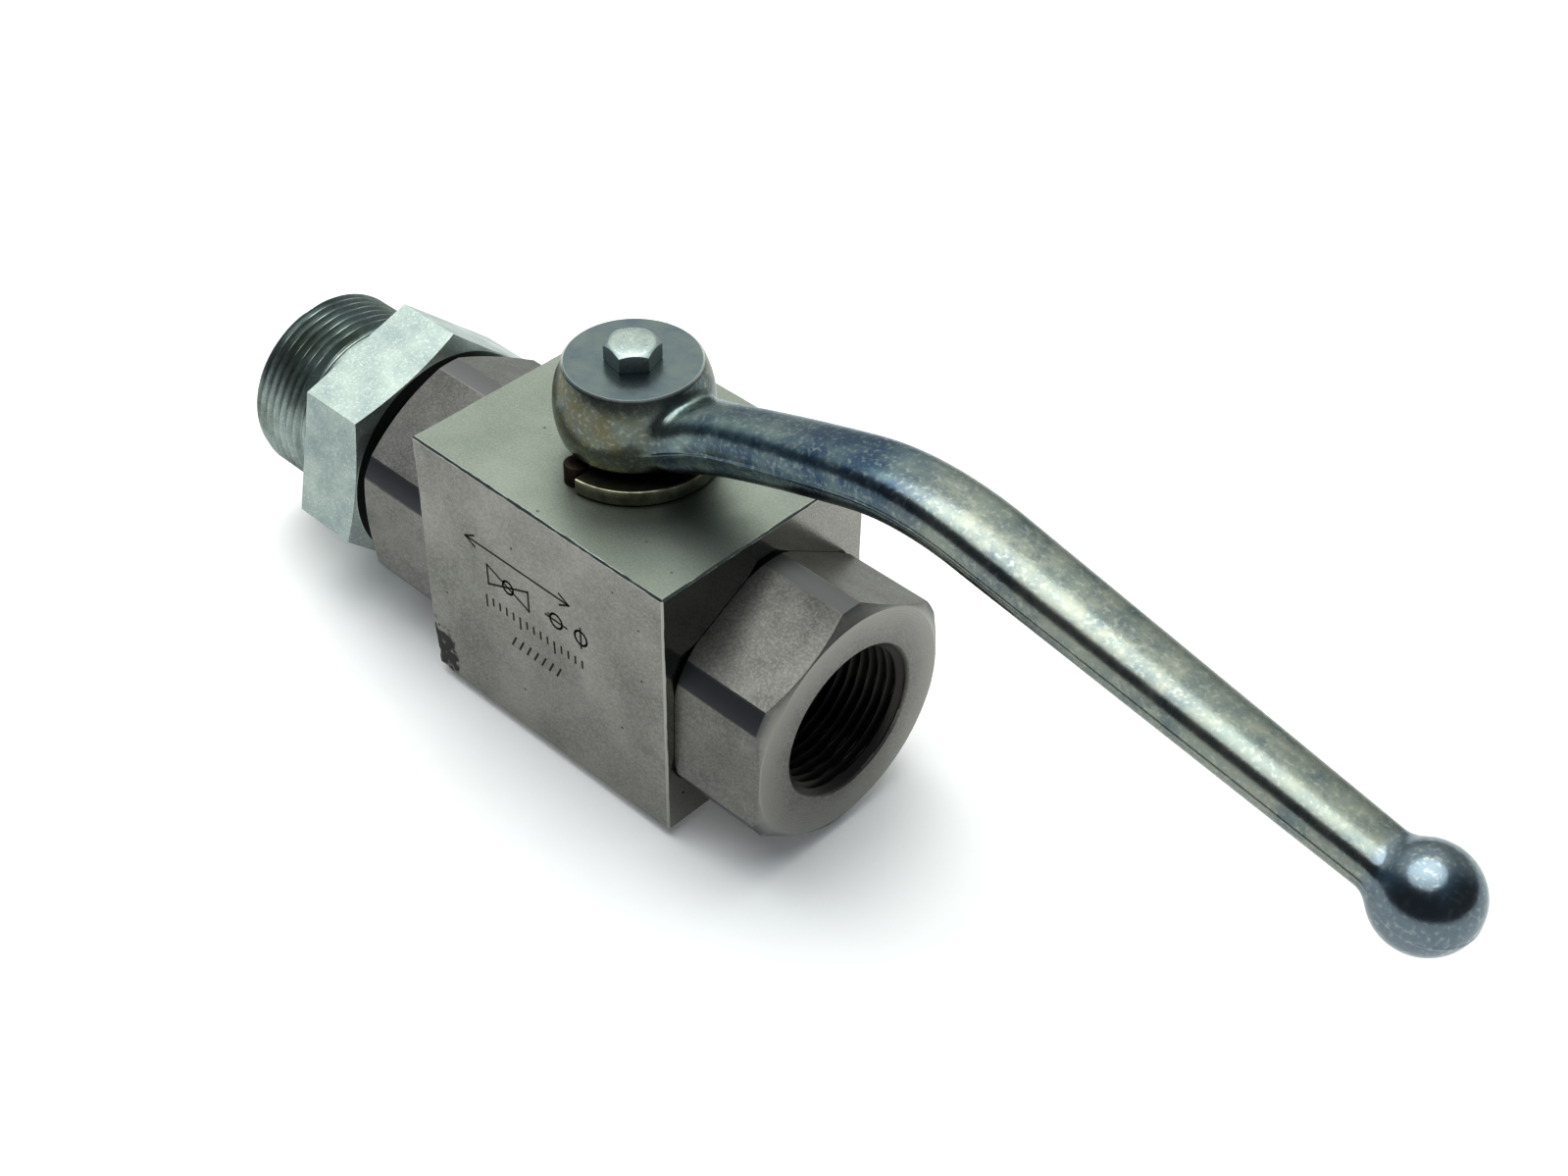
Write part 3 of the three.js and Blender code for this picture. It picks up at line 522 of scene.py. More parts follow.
for piece, body_node, direction in ((front, "front_connector", 1), (rear, "rear_connector", -1)):
    on_flat, reach, x = head_zones(piece, direction)
    outside = (x > head_start + 0.3) & (reach > 18)
    on_bar = outside & (reach > bar_radius - 0.05) & (x < connector_face - 1.4)
    paint(piece, "bar_skin", on_bar & ~on_flat)
    paint(piece, "turned_face", outside & ~on_flat & (x > connector_face - 1.5))
    # The bore mask carries the painted shade of the port's inside.
    paint(piece, "bore", (reach < 16.9) & (x < connector_face - 0.5))
    smooth(piece, 14)
    piece.data.materials.append(turned_steel)
    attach(piece, "valve_body")
    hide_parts(body_node)


# ---- Ball -----------------------------------------------------------------------------------
# A ground and chrome-plated steel ball, bored right through at the nominal bore and slotted across
# the top for the stem's tang. It shows only as a bright ring deep in the free port.
ball_radius = 19.0
bore_radius = 12.5
ball_edge = math.asin(bore_radius / ball_radius)
turn_through = np.linspace(ball_edge + 0.01, np.pi - ball_edge - 0.01, 61)
ball_outline = np.stack([ball_radius * np.cos(turn_through), ball_radius * np.sin(turn_through)], 1)
ball_mouth = ball_radius * math.cos(ball_edge) - 0.3
ball_outline = np.vstack([ball_outline, [[-ball_mouth, bore_radius], [ball_mouth, bore_radius]]])
ball = turned("bored_ball", ball_outline, "x", 144)
slot_corners = np.array([[-4.2, -20], [4.2, -20], [4.2, 20], [-4.2, 20]])
combine(ball, prism("slot", slot_corners, flow_height + 15, flow_height + 21, "z"), "DIFFERENCE")
smooth(ball, 25)

# Hard-chromed ground steel: cool and near-mirror, with very fine lapping marks round the bore.
chrome, tree, shader, place = finish("ground_chromed_steel", 1.0)
lap = node(tree, "Mapping", {"Vector": place, "Scale": (30.0, 1.0, 1.0)})
marks = noise(tree, lap.outputs[0], 4, 5.0)
tree.links.new(blend(tree, marks, linear("#a9adb0"), linear("#c3c6c8")), shader.inputs["Base Color"])
tree.links.new(remap(tree, marks, 0.3, 0.7, 0.12, 0.24), shader.inputs["Roughness"])
roughen(tree, shader, marks, 0.15, 0.02)
ball.data.materials.append(chrome)
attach(ball, "ball_body")
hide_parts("ball")


# ---- Seats, O-rings and backup rings ----------------------------------------------------------
# A turned acetal seat bears on each side of the ball, loaded by a small O-ring behind it. An O-ring
# with a plastic backup ring seals each connector in the block, and two more seal the stem.
acetal, tree, shader, place = finish("turned_acetal", 0.0)
cut = noise(tree, place, 1.2, 3.0)
tree.links.new(blend(tree, cut, linear("#cfccc0"), linear("#dedcd2")), shader.inputs["Base Color"])
tree.links.new(remap(tree, cut, 0.3, 0.7, 0.4, 0.55), shader.inputs["Roughness"])
roughen(tree, shader, cut, 0.2, 0.05)

# Moulded nitrile rubber: soft black with a dusty bloom.
rubber, tree, shader, place = finish("moulded_nitrile", 0.0)
bloom = noise(tree, place, 2.5, 4.0)
tree.links.new(blend(tree, bloom, linear("#0f1012"), linear("#1c1d1f")), shader.inputs["Base Color"])
tree.links.new(remap(tree, bloom, 0.3, 0.7, 0.5, 0.75), shader.inputs["Roughness"])
roughen(tree, shader, bloom, 0.2, 0.05)


def round_section(middle, radius, thickness):
    """A circle of the given thickness round the point (middle, radius), as a closed outline."""
    angle = np.linspace(0, 2 * np.pi, 24, endpoint=False)
    return np.stack([middle + thickness / 2 * np.cos(angle), radius + thickness / 2 * np.sin(angle)], 1)


def block_section(start, end, inner, outer, edge=0.1):
    """A rectangle with small chamfers between two distances along and two radii."""
    return [[start + edge, inner], [end - edge, inner], [end, inner + edge], [end, outer - edge],
            [end - edge, outer], [start + edge, outer], [start, outer - edge], [start, inner + edge]]


seat_curve = np.linspace(12.8, 15.9, 12)
seat_nose = np.stack([np.sqrt((ball_radius + 0.05) ** 2 - seat_curve ** 2), seat_curve], 1)
seat_shoulder = seat_nose[-1, 0]
seat_back = [[seat_shoulder, 17.6], [seat_shoulder + 0.9, 18.5], [18.2, 18.5]]
seat_outline = np.vstack([[[18.2, 12.8]], seat_nose, seat_back])
rings = [
    ("seat", seat_outline, acetal, "acetal"),
    ("seat_o_ring", round_section(19.25, 17.4, 1.6), rubber, "rubber"),
    ("connector_o_ring", round_section(30.3, 19.45, 1.8), rubber, "rubber"),
    ("connector_backup_ring", block_section(31.7, 32.8, 18.5, 20.35), acetal, "acetal"),
]
for side in ("front", "rear"):
    for name, outline, material, slot in rings:
        piece = turned(side + "_" + name + "_shape", outline, "x", 96)
        if side == "rear":
            half_turn(piece)
        smooth(piece, 25)
        piece.data.materials.append(material)
        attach(piece, "valve_body")
        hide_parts(side + "_" + name)

stem_rings = [
    ("stem_lower_o_ring", round_section(52.85, 6.34, 1.2), rubber, "rubber"),
    ("stem_upper_o_ring", round_section(55.6, 6.34, 1.2), rubber, "rubber"),
    ("stem_backup_ring", block_section(56.5, 57.5, 5.7, 6.96), acetal, "acetal"),
    ("stem_thrust_washer", block_section(49.55, 50.9, 7.15, 8.9), acetal, "acetal"),
]


# ---- Stem -------------------------------------------------------------------------------------
# A ground steel stem put in from inside the block: a tang in the ball's slot, a shoulder held by the
# pressure, two seal grooves, and a square that carries the stop disc and the lever.
stem_radius, groove_radius, clip_groove_radius = 7, 5.6, 6.6
stem_outline = [[46.9, 0], [46.9, 8.6], [47.2, 8.9], [49.1, 8.9], [49.4, 8.6], [49.4, stem_radius],
                [52, stem_radius], [52, groove_radius], [53.7, groove_radius], [53.7, stem_radius],
                [54.8, stem_radius], [54.8, groove_radius], [57.6, groove_radius], [57.6, stem_radius],
                [63.6, stem_radius], [63.6, clip_groove_radius], [64.9, clip_groove_radius],
                [64.9, stem_radius], [77.8, stem_radius], [78.6, 6.2], [78.6, 0]]
stem = turned("square_topped_stem", stem_outline, "z", 96, solid=True)


def square_corners(side, other=None):
    """The four corners of a rectangle about the stem axis."""
    other = side if other is None else other
    return np.array([[-side, -other], [side, -other], [side, other], [-side, other]]) / 2


envelope = prism("round_part", square_corners(40), 30, 59.8, "z")
combine(envelope, prism("square_part", square_corners(11), 59, 81, "z"), "UNION")
combine(stem, envelope, "INTERSECT")
combine(stem, prism("tang", square_corners(7.6, 13), 41.6, 47.2, "z"), "UNION")
combine(stem, turned("screw_hole", [[68, 0], [68, 3], [80, 3], [80, 0]], "z", 48, solid=True), "DIFFERENCE")
smooth(stem, 25)
stem.data.materials.append(chrome)
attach(stem, "stem_and_lever")
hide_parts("stem")

for name, outline, material, slot in stem_rings:
    piece = turned(name + "_shape", outline, "z", 72)
    smooth(piece, 25)
    piece.data.materials.append(material)
    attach(piece, "valve_body" if name == "stem_thrust_washer" else "stem_and_lever")
    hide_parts(name)


# ---- Stop disc, stop pin and retaining ring -----------------------------------------------------
# A zinc-plated disc on the stem's square, with a sector cut out of it. A steel pin driven into the
# block stands in the gap and stops the lever a quarter turn apart. A spring ring holds the disc down.
disc_radius = 17.1
disc_low, disc_high = 60.1, 63.5
notch_radius = 11.0
notch_end = math.radians(-86.3)
notch_start = notch_end - math.radians(90 + 2 * 10.286 + 2 * 0.914)
disc_outline = [[disc_low, 0], [disc_low, disc_radius - 0.35], [disc_low + 0.35, disc_radius],
                [disc_high - 0.3, disc_radius], [disc_high - 0.12, disc_radius - 0.08],
                [disc_high, disc_radius - 0.3], [disc_high, 0]]
disc = turned("stop_disc_plate", disc_outline, "z", 192, solid=True)
sweep = np.linspace(notch_start, notch_end, 60)
notch_section = np.array([[notch_radius, disc_low - 2], [notch_radius + 10, disc_low - 2],
                          [notch_radius + 10, disc_high + 2], [notch_radius, disc_high + 2]])
notch = np.stack([np.outer(np.cos(sweep), notch_section[:, 0]), np.outer(np.sin(sweep), notch_section[:, 0]),
                  np.tile(notch_section[:, 1], (len(sweep), 1))], -1)
combine(disc, skin("notch", notch, caps=True), "DIFFERENCE")
combine(disc, prism("disc_square", square_corners(11.3), 58, 66, "z"), "DIFFERENCE")
smooth(disc, 25)

# Zinc plate, blue-passivated: pale grey-green, a fine sparkle from the crystals and greasy smears.
zinc, tree, shader, place = finish("passivated_zinc_plate", 1.0)
crystal = node(tree, "TexVoronoi", {"Vector": place, "Scale": 1 / (0.35 * MM)}).outputs["Color"]
sparkle = node(tree, "SeparateColor", {"Color": crystal}).outputs[0]
smear = noise(tree, place, 7, 6.0, 0.6)
tint = blend(tree, remap(tree, smear, 0.36, 0.66, 0, 1), linear("#aeb8b3"), linear("#9da8a7"))
tint = blend(tree, remap(tree, sparkle, 0.75, 1.0, 0, 0.35), tint, linear("#d6dcd8"))
tint = blend(tree, remap(tree, sparkle, 0.0, 0.2, 0.2, 0), tint, linear("#7f8c88"))
dirt_part = painted(tree, "thread")
dirt = noise(tree, place, 11, 4.0)
dirt = product(tree, dirt_part, remap(tree, dirt, 0.42, 0.66, 0, 0.6))
tint = blend(tree, dirt, tint, linear("#5a5f52"))
tree.links.new(tint, shader.inputs["Base Color"])
tree.links.new(remap(tree, smear, 0.3, 0.7, 0.28, 0.42), shader.inputs["Roughness"])
roughen(tree, shader, sparkle, 0.12, 0.03)

# The same plating on the disc, yellowed and stained with old grease.
aged_zinc, tree, shader, place = finish("greasy_zinc_plate", 1.0)
stain = noise(tree, place, 4, 6.0, 0.65)
tree.links.new(blend(tree, remap(tree, stain, 0.35, 0.65, 0, 1), linear("#a5a48f"), linear("#6c6c5c")),
               shader.inputs["Base Color"])
tree.links.new(remap(tree, stain, 0.3, 0.7, 0.28, 0.45), shader.inputs["Roughness"])
roughen(tree, shader, stain, 0.25, 0.06)
disc.data.materials.append(aged_zinc)

pin_radius = (pin_high[0] - pin_low[0]) / 2
pin_outline = [[pin_low[2], 0], [pin_low[2], pin_radius - 0.4], [pin_low[2] + 0.4, pin_radius],
               [pin_high[2] - 0.5, pin_radius], [pin_high[2] - 0.2, pin_radius - 0.15],
               [pin_high[2], pin_radius - 0.6], [pin_high[2], 0]]
pin = skin("driven_stop_pin", turned_grid(pin_outline, "z", 64) + [pin_centre[0], pin_centre[1], 0])
smooth(pin, 30)

# Browned hardened steel: dark, warm and worn to bare metal on the corner.
browned, tree, shader, place = finish("browned_pin_steel", 1.0)
wear = noise(tree, place, 1.5, 5.0)
tree.links.new(blend(tree, wear, linear("#2f2822"), linear("#51483e")), shader.inputs["Base Color"])
tree.links.new(remap(tree, wear, 0.3, 0.7, 0.35, 0.55), shader.inputs["Roughness"])
roughen(tree, shader, wear, 0.2, 0.04)
pin.data.materials.append(browned)

clip_gap = math.radians(24)
clip_angle = np.linspace(np.pi / 2 + clip_gap / 2, np.pi / 2 + 2 * np.pi - clip_gap / 2, 120)
clip_section = np.array([[6.8, 63.76], [9.3, 63.76], [9.4, 63.86], [9.4, 64.65], [9.3, 64.75], [6.8, 64.75]])
clip_grid = np.stack([np.outer(np.cos(clip_angle), clip_section[:, 0]),
                      np.outer(np.sin(clip_angle), clip_section[:, 0]),
                      np.tile(clip_section[:, 1], (len(clip_angle), 1))], -1)
clip = skin("spring_retaining_ring", clip_grid, caps=True)
smooth(clip, 30)

# Oil-blacked spring steel: near black with a soft sheen.
spring, tree, shader, place = finish("blacked_spring_steel", 1.0)
bluing = noise(tree, place, 2, 4.0)
tree.links.new(blend(tree, bluing, linear("#232428"), linear("#3b3c40")), shader.inputs["Base Color"])
tree.links.new(remap(tree, bluing, 0.3, 0.7, 0.3, 0.45), shader.inputs["Roughness"])
roughen(tree, shader, bluing, 0.15, 0.03)
clip.data.materials.append(spring)

for piece, body, replaced, slot in ((disc, "stem_and_lever", "stop_disc", "zinc_plate"),
                                    (pin, "valve_body", "stop_pin", "browned_steel"),
                                    (clip, "stem_and_lever", "stem_retaining_ring", "spring_steel")):
    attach(piece, body)
    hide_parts(replaced)


# ---- Lever --------------------------------------------------------------------------------------
# A drop-forged steel lever: a barrel-shaped hub machined flat on top, an oval arm that rises to an
# elbow and falls to a ball, and a fine parting ridge all along both sides.
hub_low, hub_high = 65.0, 82.0
hub_top_radius = 13.5
bulge_radius, bulge_height = 15.67, 72.9
knob = np.array([173.5, 0, 68.5])
knob_radius = 9.25
line_bends = [((8, 69), (29, 78.1), (57.2, 86.2)), ((57.2, 86.2), (70.8, 90.1), (86, 86.9))]
arm_x = [8, 11, 14, 17, 20, 26, 60, 86, 174]
arm_half_width = [9.5, 9.6, 9.0, 7.8, 6.9, 6.3, 7.4, 7.6, 5.8]
arm_half_height = [3.6, 5.2, 6.6, 6.7, 6.7, 6.6, 5.83, 5.62, 4.7]
ridge_height, ridge_half = 0.18, 0.5


def centre_line():
    """Points of the arm's centre line in the XZ plane, evenly spaced: two quadratic curves, each
    (1-t)^2 A + 2t(1-t) B + t^2 C, then a straight run to the ball."""
    t = np.linspace(0, 1, 200)[:-1, None]
    parts = [(1 - t) ** 2 * np.array(a) + 2 * t * (1 - t) * np.array(b) + t ** 2 * np.array(c)
             for a, b, c in line_bends]
    parts.append(np.array(line_bends[1][2]) * (1 - t) + knob[[0, 2]] * t)
    line = np.concatenate(parts + [knob[None, [0, 2]]])
    run = np.concatenate([[0], np.cumsum(np.linalg.norm(np.diff(line, axis=0), axis=1))])
    even = np.linspace(0, run[-1], int(run[-1] / 0.6))
    return np.stack([np.interp(even, run, line[:, 0]), np.interp(even, run, line[:, 1])], 1)


line = centre_line()
tangent = np.gradient(line, axis=0)
tangent /= np.linalg.norm(tangent, axis=1, keepdims=True)
upward = np.stack([-tangent[:, 1], tangent[:, 0]], 1)


def arm_reach(angle, width, height):
    """How far the arm's side stands from its centre line, as a share of the plain oval: that of
    |c|^n + |s|^n = 1 with n = 3 above and 2 below, plus a narrow rounded ridge where the two
    forging dies met."""
    rise = height * np.sin(angle)
    squareness = np.where(rise > 0, 3.0, 2.0)
    total = np.abs(np.cos(angle)) ** squareness + np.abs(np.sin(angle)) ** squareness
    flattened = total ** (-1 / squareness)
    return flattened + ridge_height / width * np.clip(1 - (rise / ridge_half) ** 2, 0, None) ** 1.5


def arm_surface():
    """The oval section at every point of the centre line, its angles closer together at the ridge."""
    quarter = np.concatenate([np.linspace(0, 0.12, 7)[:-1], np.linspace(0.12, np.pi / 2, 15)[:-1]])
    half = np.unique(np.round(np.concatenate([quarter, [np.pi / 2], np.pi - quarter]), 6))
    angle = np.concatenate([half[:-1], half[:-1] + np.pi])
    width = np.interp(line[:, 0], arm_x, arm_half_width)[:, None]
    height = np.interp(line[:, 0], arm_x, arm_half_height)[:, None]
    reach = arm_reach(angle[None, :], width, height)
    across = width * reach * np.cos(angle)
    rise = height * reach * np.sin(angle)
    return np.stack([line[:, :1] + upward[:, :1] * rise, across, line[:, 1:] + upward[:, 1:] * rise], -1)


hub_rounding = 1.5


def hub_radius(z):
    """Radius of the hub: a parabola falling from the bulge up to the top and down to the bottom, where
    the corner is rounded off."""
    above = (z - bulge_height) / (hub_high - bulge_height)
    below = (bulge_height - z) / (bulge_height - hub_low)
    upper = (bulge_radius - hub_top_radius) * above ** 2
    side = bulge_radius - np.where(z > bulge_height, upper, hub_rounding * below ** 2)
    corner = np.clip(1 - (z - hub_low) / hub_rounding, 0, 1)
    return side - hub_rounding * (1 - np.sqrt(1 - corner ** 2))


def arm_distance(points):
    """Rough distance of points outside the arm, taken in the section of the nearest centre point."""
    gap = points[:, None, [0, 2]] - line[None, ::2]
    nearest = 2 * np.argmin((gap ** 2).sum(-1), axis=1)
    away = points[:, [0, 2]] - line[nearest]
    rise = (away * upward[nearest]).sum(1)
    ahead = (away * tangent[nearest]).sum(1)
    width = np.interp(line[nearest, 0] + ahead, arm_x, arm_half_width)
    height = np.interp(line[nearest, 0] + ahead, arm_x, arm_half_height)
    angle = np.arctan2(rise / height, points[:, 1] / width)
    reach = np.hypot(points[:, 1] / width, rise / height)
    side = (reach - arm_reach(angle, width, height)) * (width * height) / np.hypot(
        height * np.cos(angle), width * np.sin(angle))
    past_end = np.where(nearest >= len(line) - 2, ahead, np.where(nearest < 2, -ahead, -np.inf))
    return np.maximum(side, past_end)


def hub_distance(points):
    """Rough distance of points outside the hub's side."""
    return np.hypot(points[:, 0], points[:, 1]) - hub_radius(np.clip(points[:, 2], hub_low, 90))


def knob_distance(points):
    """Distance of points outside the ball at the end."""
    return np.linalg.norm(points - knob, axis=1) - knob_radius


def fillet(piece, first, second, radius):
    """Move the points near where two shapes meet on to their rounded join: each step goes down the
    gradient of the smooth minimum of the two distances, min(a, b) - r (1 - |a - b| / r)^2 / 4."""
    def joined(p):
        a, b = first(p), second(p)
        return np.minimum(a, b) - radius * np.clip(1 - np.abs(a - b) / radius, 0, None) ** 2 / 4

    points = points_of(piece)
    near = np.flatnonzero((np.abs(first(points)) < radius * 1.5) & (np.abs(second(points)) < radius * 1.5))
    moved = points[near]
    for _ in range(6):
        value = joined(moved)
        slope = np.stack([(joined(moved + step) - joined(moved - step)) / 0.02
                          for step in 0.01 * np.eye(3)], 1)
        moved = moved - value[:, None] * slope / np.maximum((slope ** 2).sum(1, keepdims=True), 0.2)
    points[near] = moved
    piece.data.vertices.foreach_set("co", (points * MM).ravel())
    piece.data.update()


lever = skin("forged_lever", arm_surface(), caps=True)
knob_rows = np.concatenate([np.linspace(-np.pi / 2, -0.1, 24), np.linspace(-0.1, 0.1, 17)[1:-1],
                            np.linspace(0.1, np.pi / 2, 24)])
knob_turn = np.linspace(0, 2 * np.pi, 96, endpoint=False)
seam = knob_radius + 0.1 * np.clip(1 - (knob_rows * knob_radius / 0.4) ** 2, 0, None)
knob_up = np.array([upward[-1, 0], 0, upward[-1, 1]])
knob_ahead = np.array([tangent[-1, 0], 0, tangent[-1, 1]])
knob_grid = knob + (seam * np.cos(knob_rows))[:, None, None] * (
    np.cos(knob_turn)[None, :, None] * knob_ahead + np.sin(knob_turn)[None, :, None] * [0, 1, 0]) \
    + (seam * np.sin(knob_rows))[:, None, None] * knob_up
combine(lever, skin("knob", knob_grid), "UNION")
fillet(lever, arm_distance, knob_distance, 1.6)
hub_z = np.concatenate([np.linspace(hub_low, hub_low + hub_rounding, 7)[:-1],
                        np.arange(hub_low + hub_rounding, hub_high + 1.1, 0.5)])
hub_outline = np.vstack([[[hub_low, 0], [hub_low, 6], [hub_low, 9]],
                         np.stack([hub_z, hub_radius(hub_z)], 1), [[hub_z[-1], 0]]])
combine(lever, turned("hub", hub_outline, "z", 168, solid=True), "UNION")
fillet(lever, arm_distance, hub_distance, 2.0)
facing = [[hub_high, 0], [hub_high, hub_top_radius - 0.25], [hub_high - 0.95, hub_top_radius + 0.7],
          [hub_high + 8, hub_top_radius + 0.7], [hub_high + 8, 0]]
combine(lever, turned("facing", facing, "z", 192, solid=True), "DIFFERENCE")
combine(lever, prism("socket", square_corners(11.3), hub_low - 1, hub_high - 3, "z"), "DIFFERENCE")
screw_hole = [[hub_high - 4, 0], [hub_high - 4, 3.3], [hub_high + 1, 3.3], [hub_high + 1, 0]]
combine(lever, turned("hole", screw_hole, "z", 64, solid=True), "DIFFERENCE")
smooth(lever, 35)
places = points_of(lever)
paint(lever, "machined_top", (places[:, 2] > hub_high - 0.05) & (np.hypot(places[:, 0], places[:, 1]) < 14))

# Forged steel, zinc-plated and blue-passivated: dark blue-grey, brassy on the hub, paler along the falling
# arm (part wear, part painted highlight), a painted highlight on the hub's top rim, with cloudy patches and
# small dents.
forged, tree, shader, place = finish("plated_forged_steel", 1.0)
apart = node(tree, "SeparateXYZ", {"Vector": place})
cloud = noise(tree, place, 14, 6.0, 0.62)
fine = noise(tree, place, 0.9, 4.0)
patch = noise(tree, place, 5, 5.0, 0.7)
tint = blend(tree, remap(tree, cloud, 0.4, 0.6, 0, 1), linear("#4b5f72"), linear("#82908f"))
# Paler patches along the falling arm: partly wear, partly a painted highlight.
falling = remap(tree, apart.outputs["X"], 66 * MM, 78 * MM, 0, 1)
painted_sheen = product(tree, falling, remap(tree, patch, 0.35, 0.6, 0.45, 1))
tint = blend(tree, painted_sheen, tint, blend(tree, patch, linear("#80867f"), linear("#a6a99f")))
ball_part = remap(tree, apart.outputs["X"], 164.5 * MM, 166.5 * MM, 0, 1)
tint = blend(tree, ball_part, tint, blend(tree, patch, linear("#667480"), linear("#8b9598")))
brassy = product(tree, remap(tree, apart.outputs["X"], 8 * MM, 17 * MM, 1, 0),
                 remap(tree, patch, 0.35, 0.65, 0.35, 1))
tint = blend(tree, brassy, tint, linear("#7d7a62"))
tint = blend(tree, remap(tree, fine, 0.52, 0.72, 0, 0.45), tint, linear("#b9bdb6"))
top_part = painted(tree, "machined_top")
faced = blend(tree, remap(tree, patch, 0.35, 0.65, 0, 1), linear("#7f8987"), linear("#6f7b82"))
tint = blend(tree, top_part, tint, faced)
plan = node(tree, "VectorMath", {0: place, 1: (1, 1, 0)}, operation="MULTIPLY").outputs[0]
out = node(tree, "VectorMath", {0: plan}, operation="LENGTH").outputs["Value"]
# A near-white band on the hub's top rim: a painted highlight.
rim_highlight = product(tree, remap(tree, out, 13.1 * MM, 13.3 * MM, 0, 1),
                   remap(tree, out, 13.8 * MM, 14.0 * MM, 1, 0))
rim_highlight = product(tree, rim_highlight, remap(tree, apart.outputs["Z"], 81.6 * MM, 81.8 * MM, 0, 0.8))
tint = blend(tree, rim_highlight, tint, linear("#d5d8d3"))
tree.links.new(tint, shader.inputs["Base Color"])
rough = remap(tree, patch, 0.3, 0.7, 0.22, 0.34)
tree.links.new(node(tree, "Mix", {0: ball_part, 2: rough, 3: 0.2}).outputs[0], shader.inputs["Roughness"])
height = node(tree, "Mix", {0: 0.35, 2: fine, 3: patch}).outputs[0]
roughen(tree, shader, height, 0.3, 0.08)
lever.data.materials.append(forged)
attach(lever, "stem_and_lever")
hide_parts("lever")


# ---- Lever screw --------------------------------------------------------------------------------
# A zinc-plated hexagon screw through the hub's web into the stem. The crown is chamfered by turning
# and carries a few plain raised pips.
screw_flats, screw_height = 9.6, 4.0
screw_seat = hub_high + 0.05
screw_turn = math.radians(49)
screw_corner = screw_flats / math.sqrt(3)
spin = screw_turn + np.arange(6) * np.pi / 3
screw = prism("hexagon_screw", screw_corner * np.stack([np.cos(spin), np.sin(spin)], 1), screw_seat,
              screw_seat + screw_height, "z")
crown = [[screw_seat - 1, 0], [screw_seat - 1, screw_corner - 0.25], [screw_seat, screw_corner - 0.25],
         [screw_seat + 0.4, screw_corner + 0.3], [screw_seat + screw_height - 1.0, screw_corner + 0.3],
         [screw_seat + screw_height - 0.12, screw_flats / 2 - 0.25],
         [screw_seat + screw_height, screw_flats / 2 - 0.6], [screw_seat + screw_height, 0]]
combine(screw, turned("crown", crown, "z", 144, solid=True), "INTERSECT")
combine(screw, turned("shank", [[69, 0], [69, 2.3], [69.4, 2.7], [screw_seat + 1, 2.7], [screw_seat + 1, 0]],
                      "z", 48, solid=True), "UNION")
pip_angle = np.linspace(0, np.pi / 2, 5)
pip_outline = [[screw_seat + screw_height - 0.05, 0.0]] + [
    [screw_seat + screw_height - 0.05 + 0.17 * math.sin(a), 0.27 * math.cos(a)] for a in pip_angle]
pips = [(-2.6, 0.6), (-2.3, -0.4), (-1.5, 0.9), (-1.2, -0.1), (-2.0, 0.3), (1.3, 1.9), (2.1, 1.5), (2.8, 0.9),
        (1.9, 2.4)]
for pip_x, pip_y in pips:
    pip = skin("pip", turned_grid(pip_outline, "z", 16) + [pip_x, pip_y, 0])
    combine(screw, pip, "UNION")
smooth(screw, 22)
screw.data.materials.append(zinc)
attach(screw, "stem_and_lever")
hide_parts("lever_screw")


# ---- Stud adapter and bonded seal ----------------------------------------------------------------
# A zinc-plated adapter screwed into the rear port: hexagon, smooth undercut, male pipe thread and a
# sixty-degree cone in its end. A metal ring with a rubber lip seals it against the connector.
shoulder, hex_end, thread_start, adapter_end = -60.7, -78.3, -85.2, -102.2
adapter_turn = math.radians(-11.8)
crest, root = 20.95, 19.5
corner = flats / math.sqrt(3)
hex_face = 24.7
hex_chamfer = (corner - hex_face) * 0.53
adapter = turned("stud_adapter_body", [
    [hex_end, 12.5], [hex_end, corner - 0.25], [hex_end + 0.15, corner + 1],
    [shoulder - hex_chamfer + 0.4, corner + 1], [shoulder - 0.1, hex_face + 0.15],
    [shoulder, hex_face], [shoulder, 12.5]], "x", 288)
adapter_bar = prism("adapter_flats", hexagon(flats, adapter_turn), hex_end - 1, shoulder + 1, "x")
combine(adapter, adapter_bar, "INTERSECT")


def male_thread(along, angle):
    """Height of the adapter's thread over its root, cut back by the chamfer at the free end."""
    height = thread(along, angle, adapter_end - 3, thread_start, crest - root, fade=1.6)
    on_thread = (along > adapter_end + 0.2) & (along < thread_start)
    return np.where(on_thread, np.minimum(height, (along - adapter_end) * 1.0), 0)


thread_run = np.arange(adapter_end + 0.25, thread_start, pipe_pitch / 14)
cone_end = [[adapter_end + 6.75, 12.5], [adapter_end, 16.4], [adapter_end, 19.2], [adapter_end + 0.2, 19.45]]
threaded = [[x, root] for x in thread_run]
neck = [[thread_start, root - 0.2], [hex_end - 1.6, root - 0.2], [hex_end - 0.9, root],
        [hex_end - 0.3, root + 0.5], [hex_end, root + 1.1], [hex_end + 1, root + 1.1]]
plug = [[shoulder - 1, 20], [shoulder - 1, 15.6], [-40.4, 15.6], [-39.4, 14.6], [-39.4, 12.5]]
body_outline = cone_end + threaded + neck + plug
combine(adapter, turned("adapter_stud", body_outline, "x", 240, change=male_thread), "UNION")
smooth(adapter, 20)
places = points_of(adapter)
paint(adapter, "thread", places[:, 0] < thread_start - 0.2)
adapter.data.materials.append(zinc)
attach(adapter, "valve_body")
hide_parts("stud_adapter")

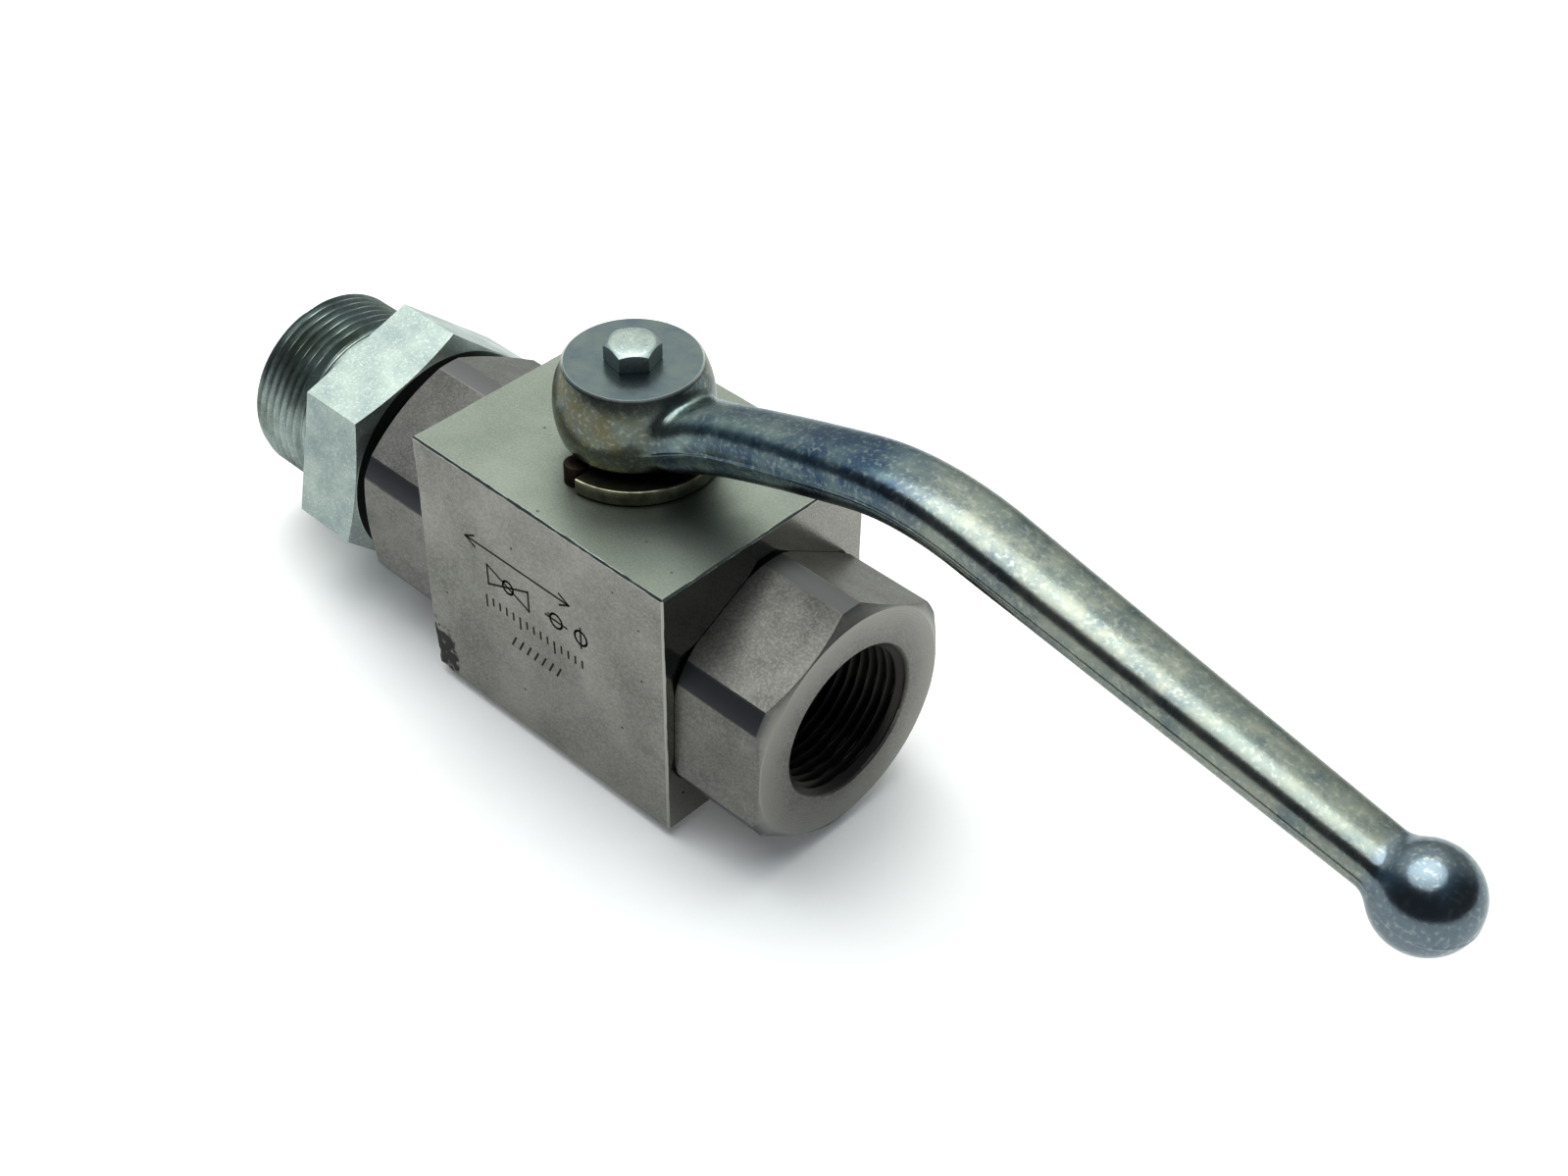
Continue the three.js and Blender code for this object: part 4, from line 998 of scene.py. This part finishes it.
seal_start, seal_end = -60.65, -57.45
seal_ring = turned("bonded_seal_metal", block_section(seal_start, seal_end, 18.7, 21.4, 0.25), "x", 192)
seal_middle = (seal_start + seal_end) / 2
seal_lip = turned("bonded_seal_rubber", [[seal_start, 17.2], [seal_middle, 16.9], [seal_end, 17.2],
                                         [seal_end, 18.6], [seal_start, 18.6]], "x", 128)
for piece, material, replaced, slot in ((seal_ring, spring, "bonded_seal_ring", "spring_steel"),
                                        (seal_lip, rubber, "bonded_seal_lip", "rubber")):
    smooth(piece, 25)
    piece.data.materials.append(material)
    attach(piece, "valve_body")
    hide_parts(replaced)


# ---- Floor, lights and surroundings ------------------------------------------------------------
# A plain white table in a room: one broad soft light overhead, a grey wall behind with a cooler one
# to its left, and dark on the right and where the viewer stands.
floor_size = 8.0
floor_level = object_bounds()[0][2] / MM - 0.02
reach = np.linspace(-floor_size / 2, floor_size / 2, 9) / MM
plan_x, plan_y = np.meshgrid(reach, reach)
floor = skin("floor", np.stack([plan_x, plan_y, np.full_like(plan_x, floor_level)], -1), close_v=False)
paper, tree, shader, place = finish("white_table", 0.0)
fleck = noise(tree, place, 40, 3.0)
tree.links.new(blend(tree, fleck, linear("#f4f4f3"), linear("#fafaf9")), shader.inputs["Base Color"])
shader.inputs["Roughness"].default_value = 0.6
shader.inputs["Emission Color"].default_value = (1, 1, 1, 1)
shader.inputs["Emission Strength"].default_value = 0.07
floor.data.materials.append(paper)

lamp_data = bpy.data.lights.new("overhead", "AREA")
lamp_data.shape = "DISK"
lamp_data.size = 3.9
lamp_data.energy = 39
lamp = bpy.data.objects.new("overhead", lamp_data)
bpy.context.collection.objects.link(lamp)
lamp_place, lamp_aim = Vector((-0.32, -0.1, 3.0)), Vector((0.03, 0, 0.03))
lamp_look = (lamp_aim - lamp_place).to_track_quat("-Z", "Y").to_matrix().to_4x4()
lamp.matrix_world = Matrix.Translation(lamp_place) @ lamp_look

world = bpy.data.worlds.new("room")
bpy.context.scene.world = world
world.use_nodes = True
tree = world.node_tree
background = tree.nodes["Background"]
direction = node(tree, "TexCoord").outputs["Generated"]


def towards(tree, where, near, far):
    """One in the given direction, falling to zero between two angles in degrees away from it."""
    unit = Vector(where).normalized()
    facing = node(tree, "VectorMath", {0: direction, 1: unit}, operation="DOT_PRODUCT").outputs["Value"]
    return node(tree, "MapRange", {"Value": facing, "From Min": math.cos(math.radians(far)),
                                   "From Max": math.cos(math.radians(near)), "To Min": 0.0, "To Max": 1.0},
                interpolation_type="SMOOTHSTEP").outputs[0]


walls = blend(tree, towards(tree, (-0.2, 1, 0.2), 20, 70), (0.14, 0.19, 0.23, 1), (0.36, 0.38, 0.37, 1))
walls = blend(tree, towards(tree, (0.9, 0.25, 0.05), 25, 60), walls, (0.09, 0.095, 0.10, 1))
walls = blend(tree, towards(tree, (-0.45, 0.3, 0.82), 20, 54), walls, (0.74, 0.75, 0.72, 1))
walls = blend(tree, towards(tree, (0.12, -0.98, 0.12), 36, 84), walls, (0.075, 0.08, 0.09, 1))
tree.links.new(walls, background.inputs["Color"])
background.inputs["Strength"].default_value = 1.0
view = bpy.context.scene.view_settings
view.view_transform = "Standard"
view.exposure = 0.93
view.gamma = 0.72
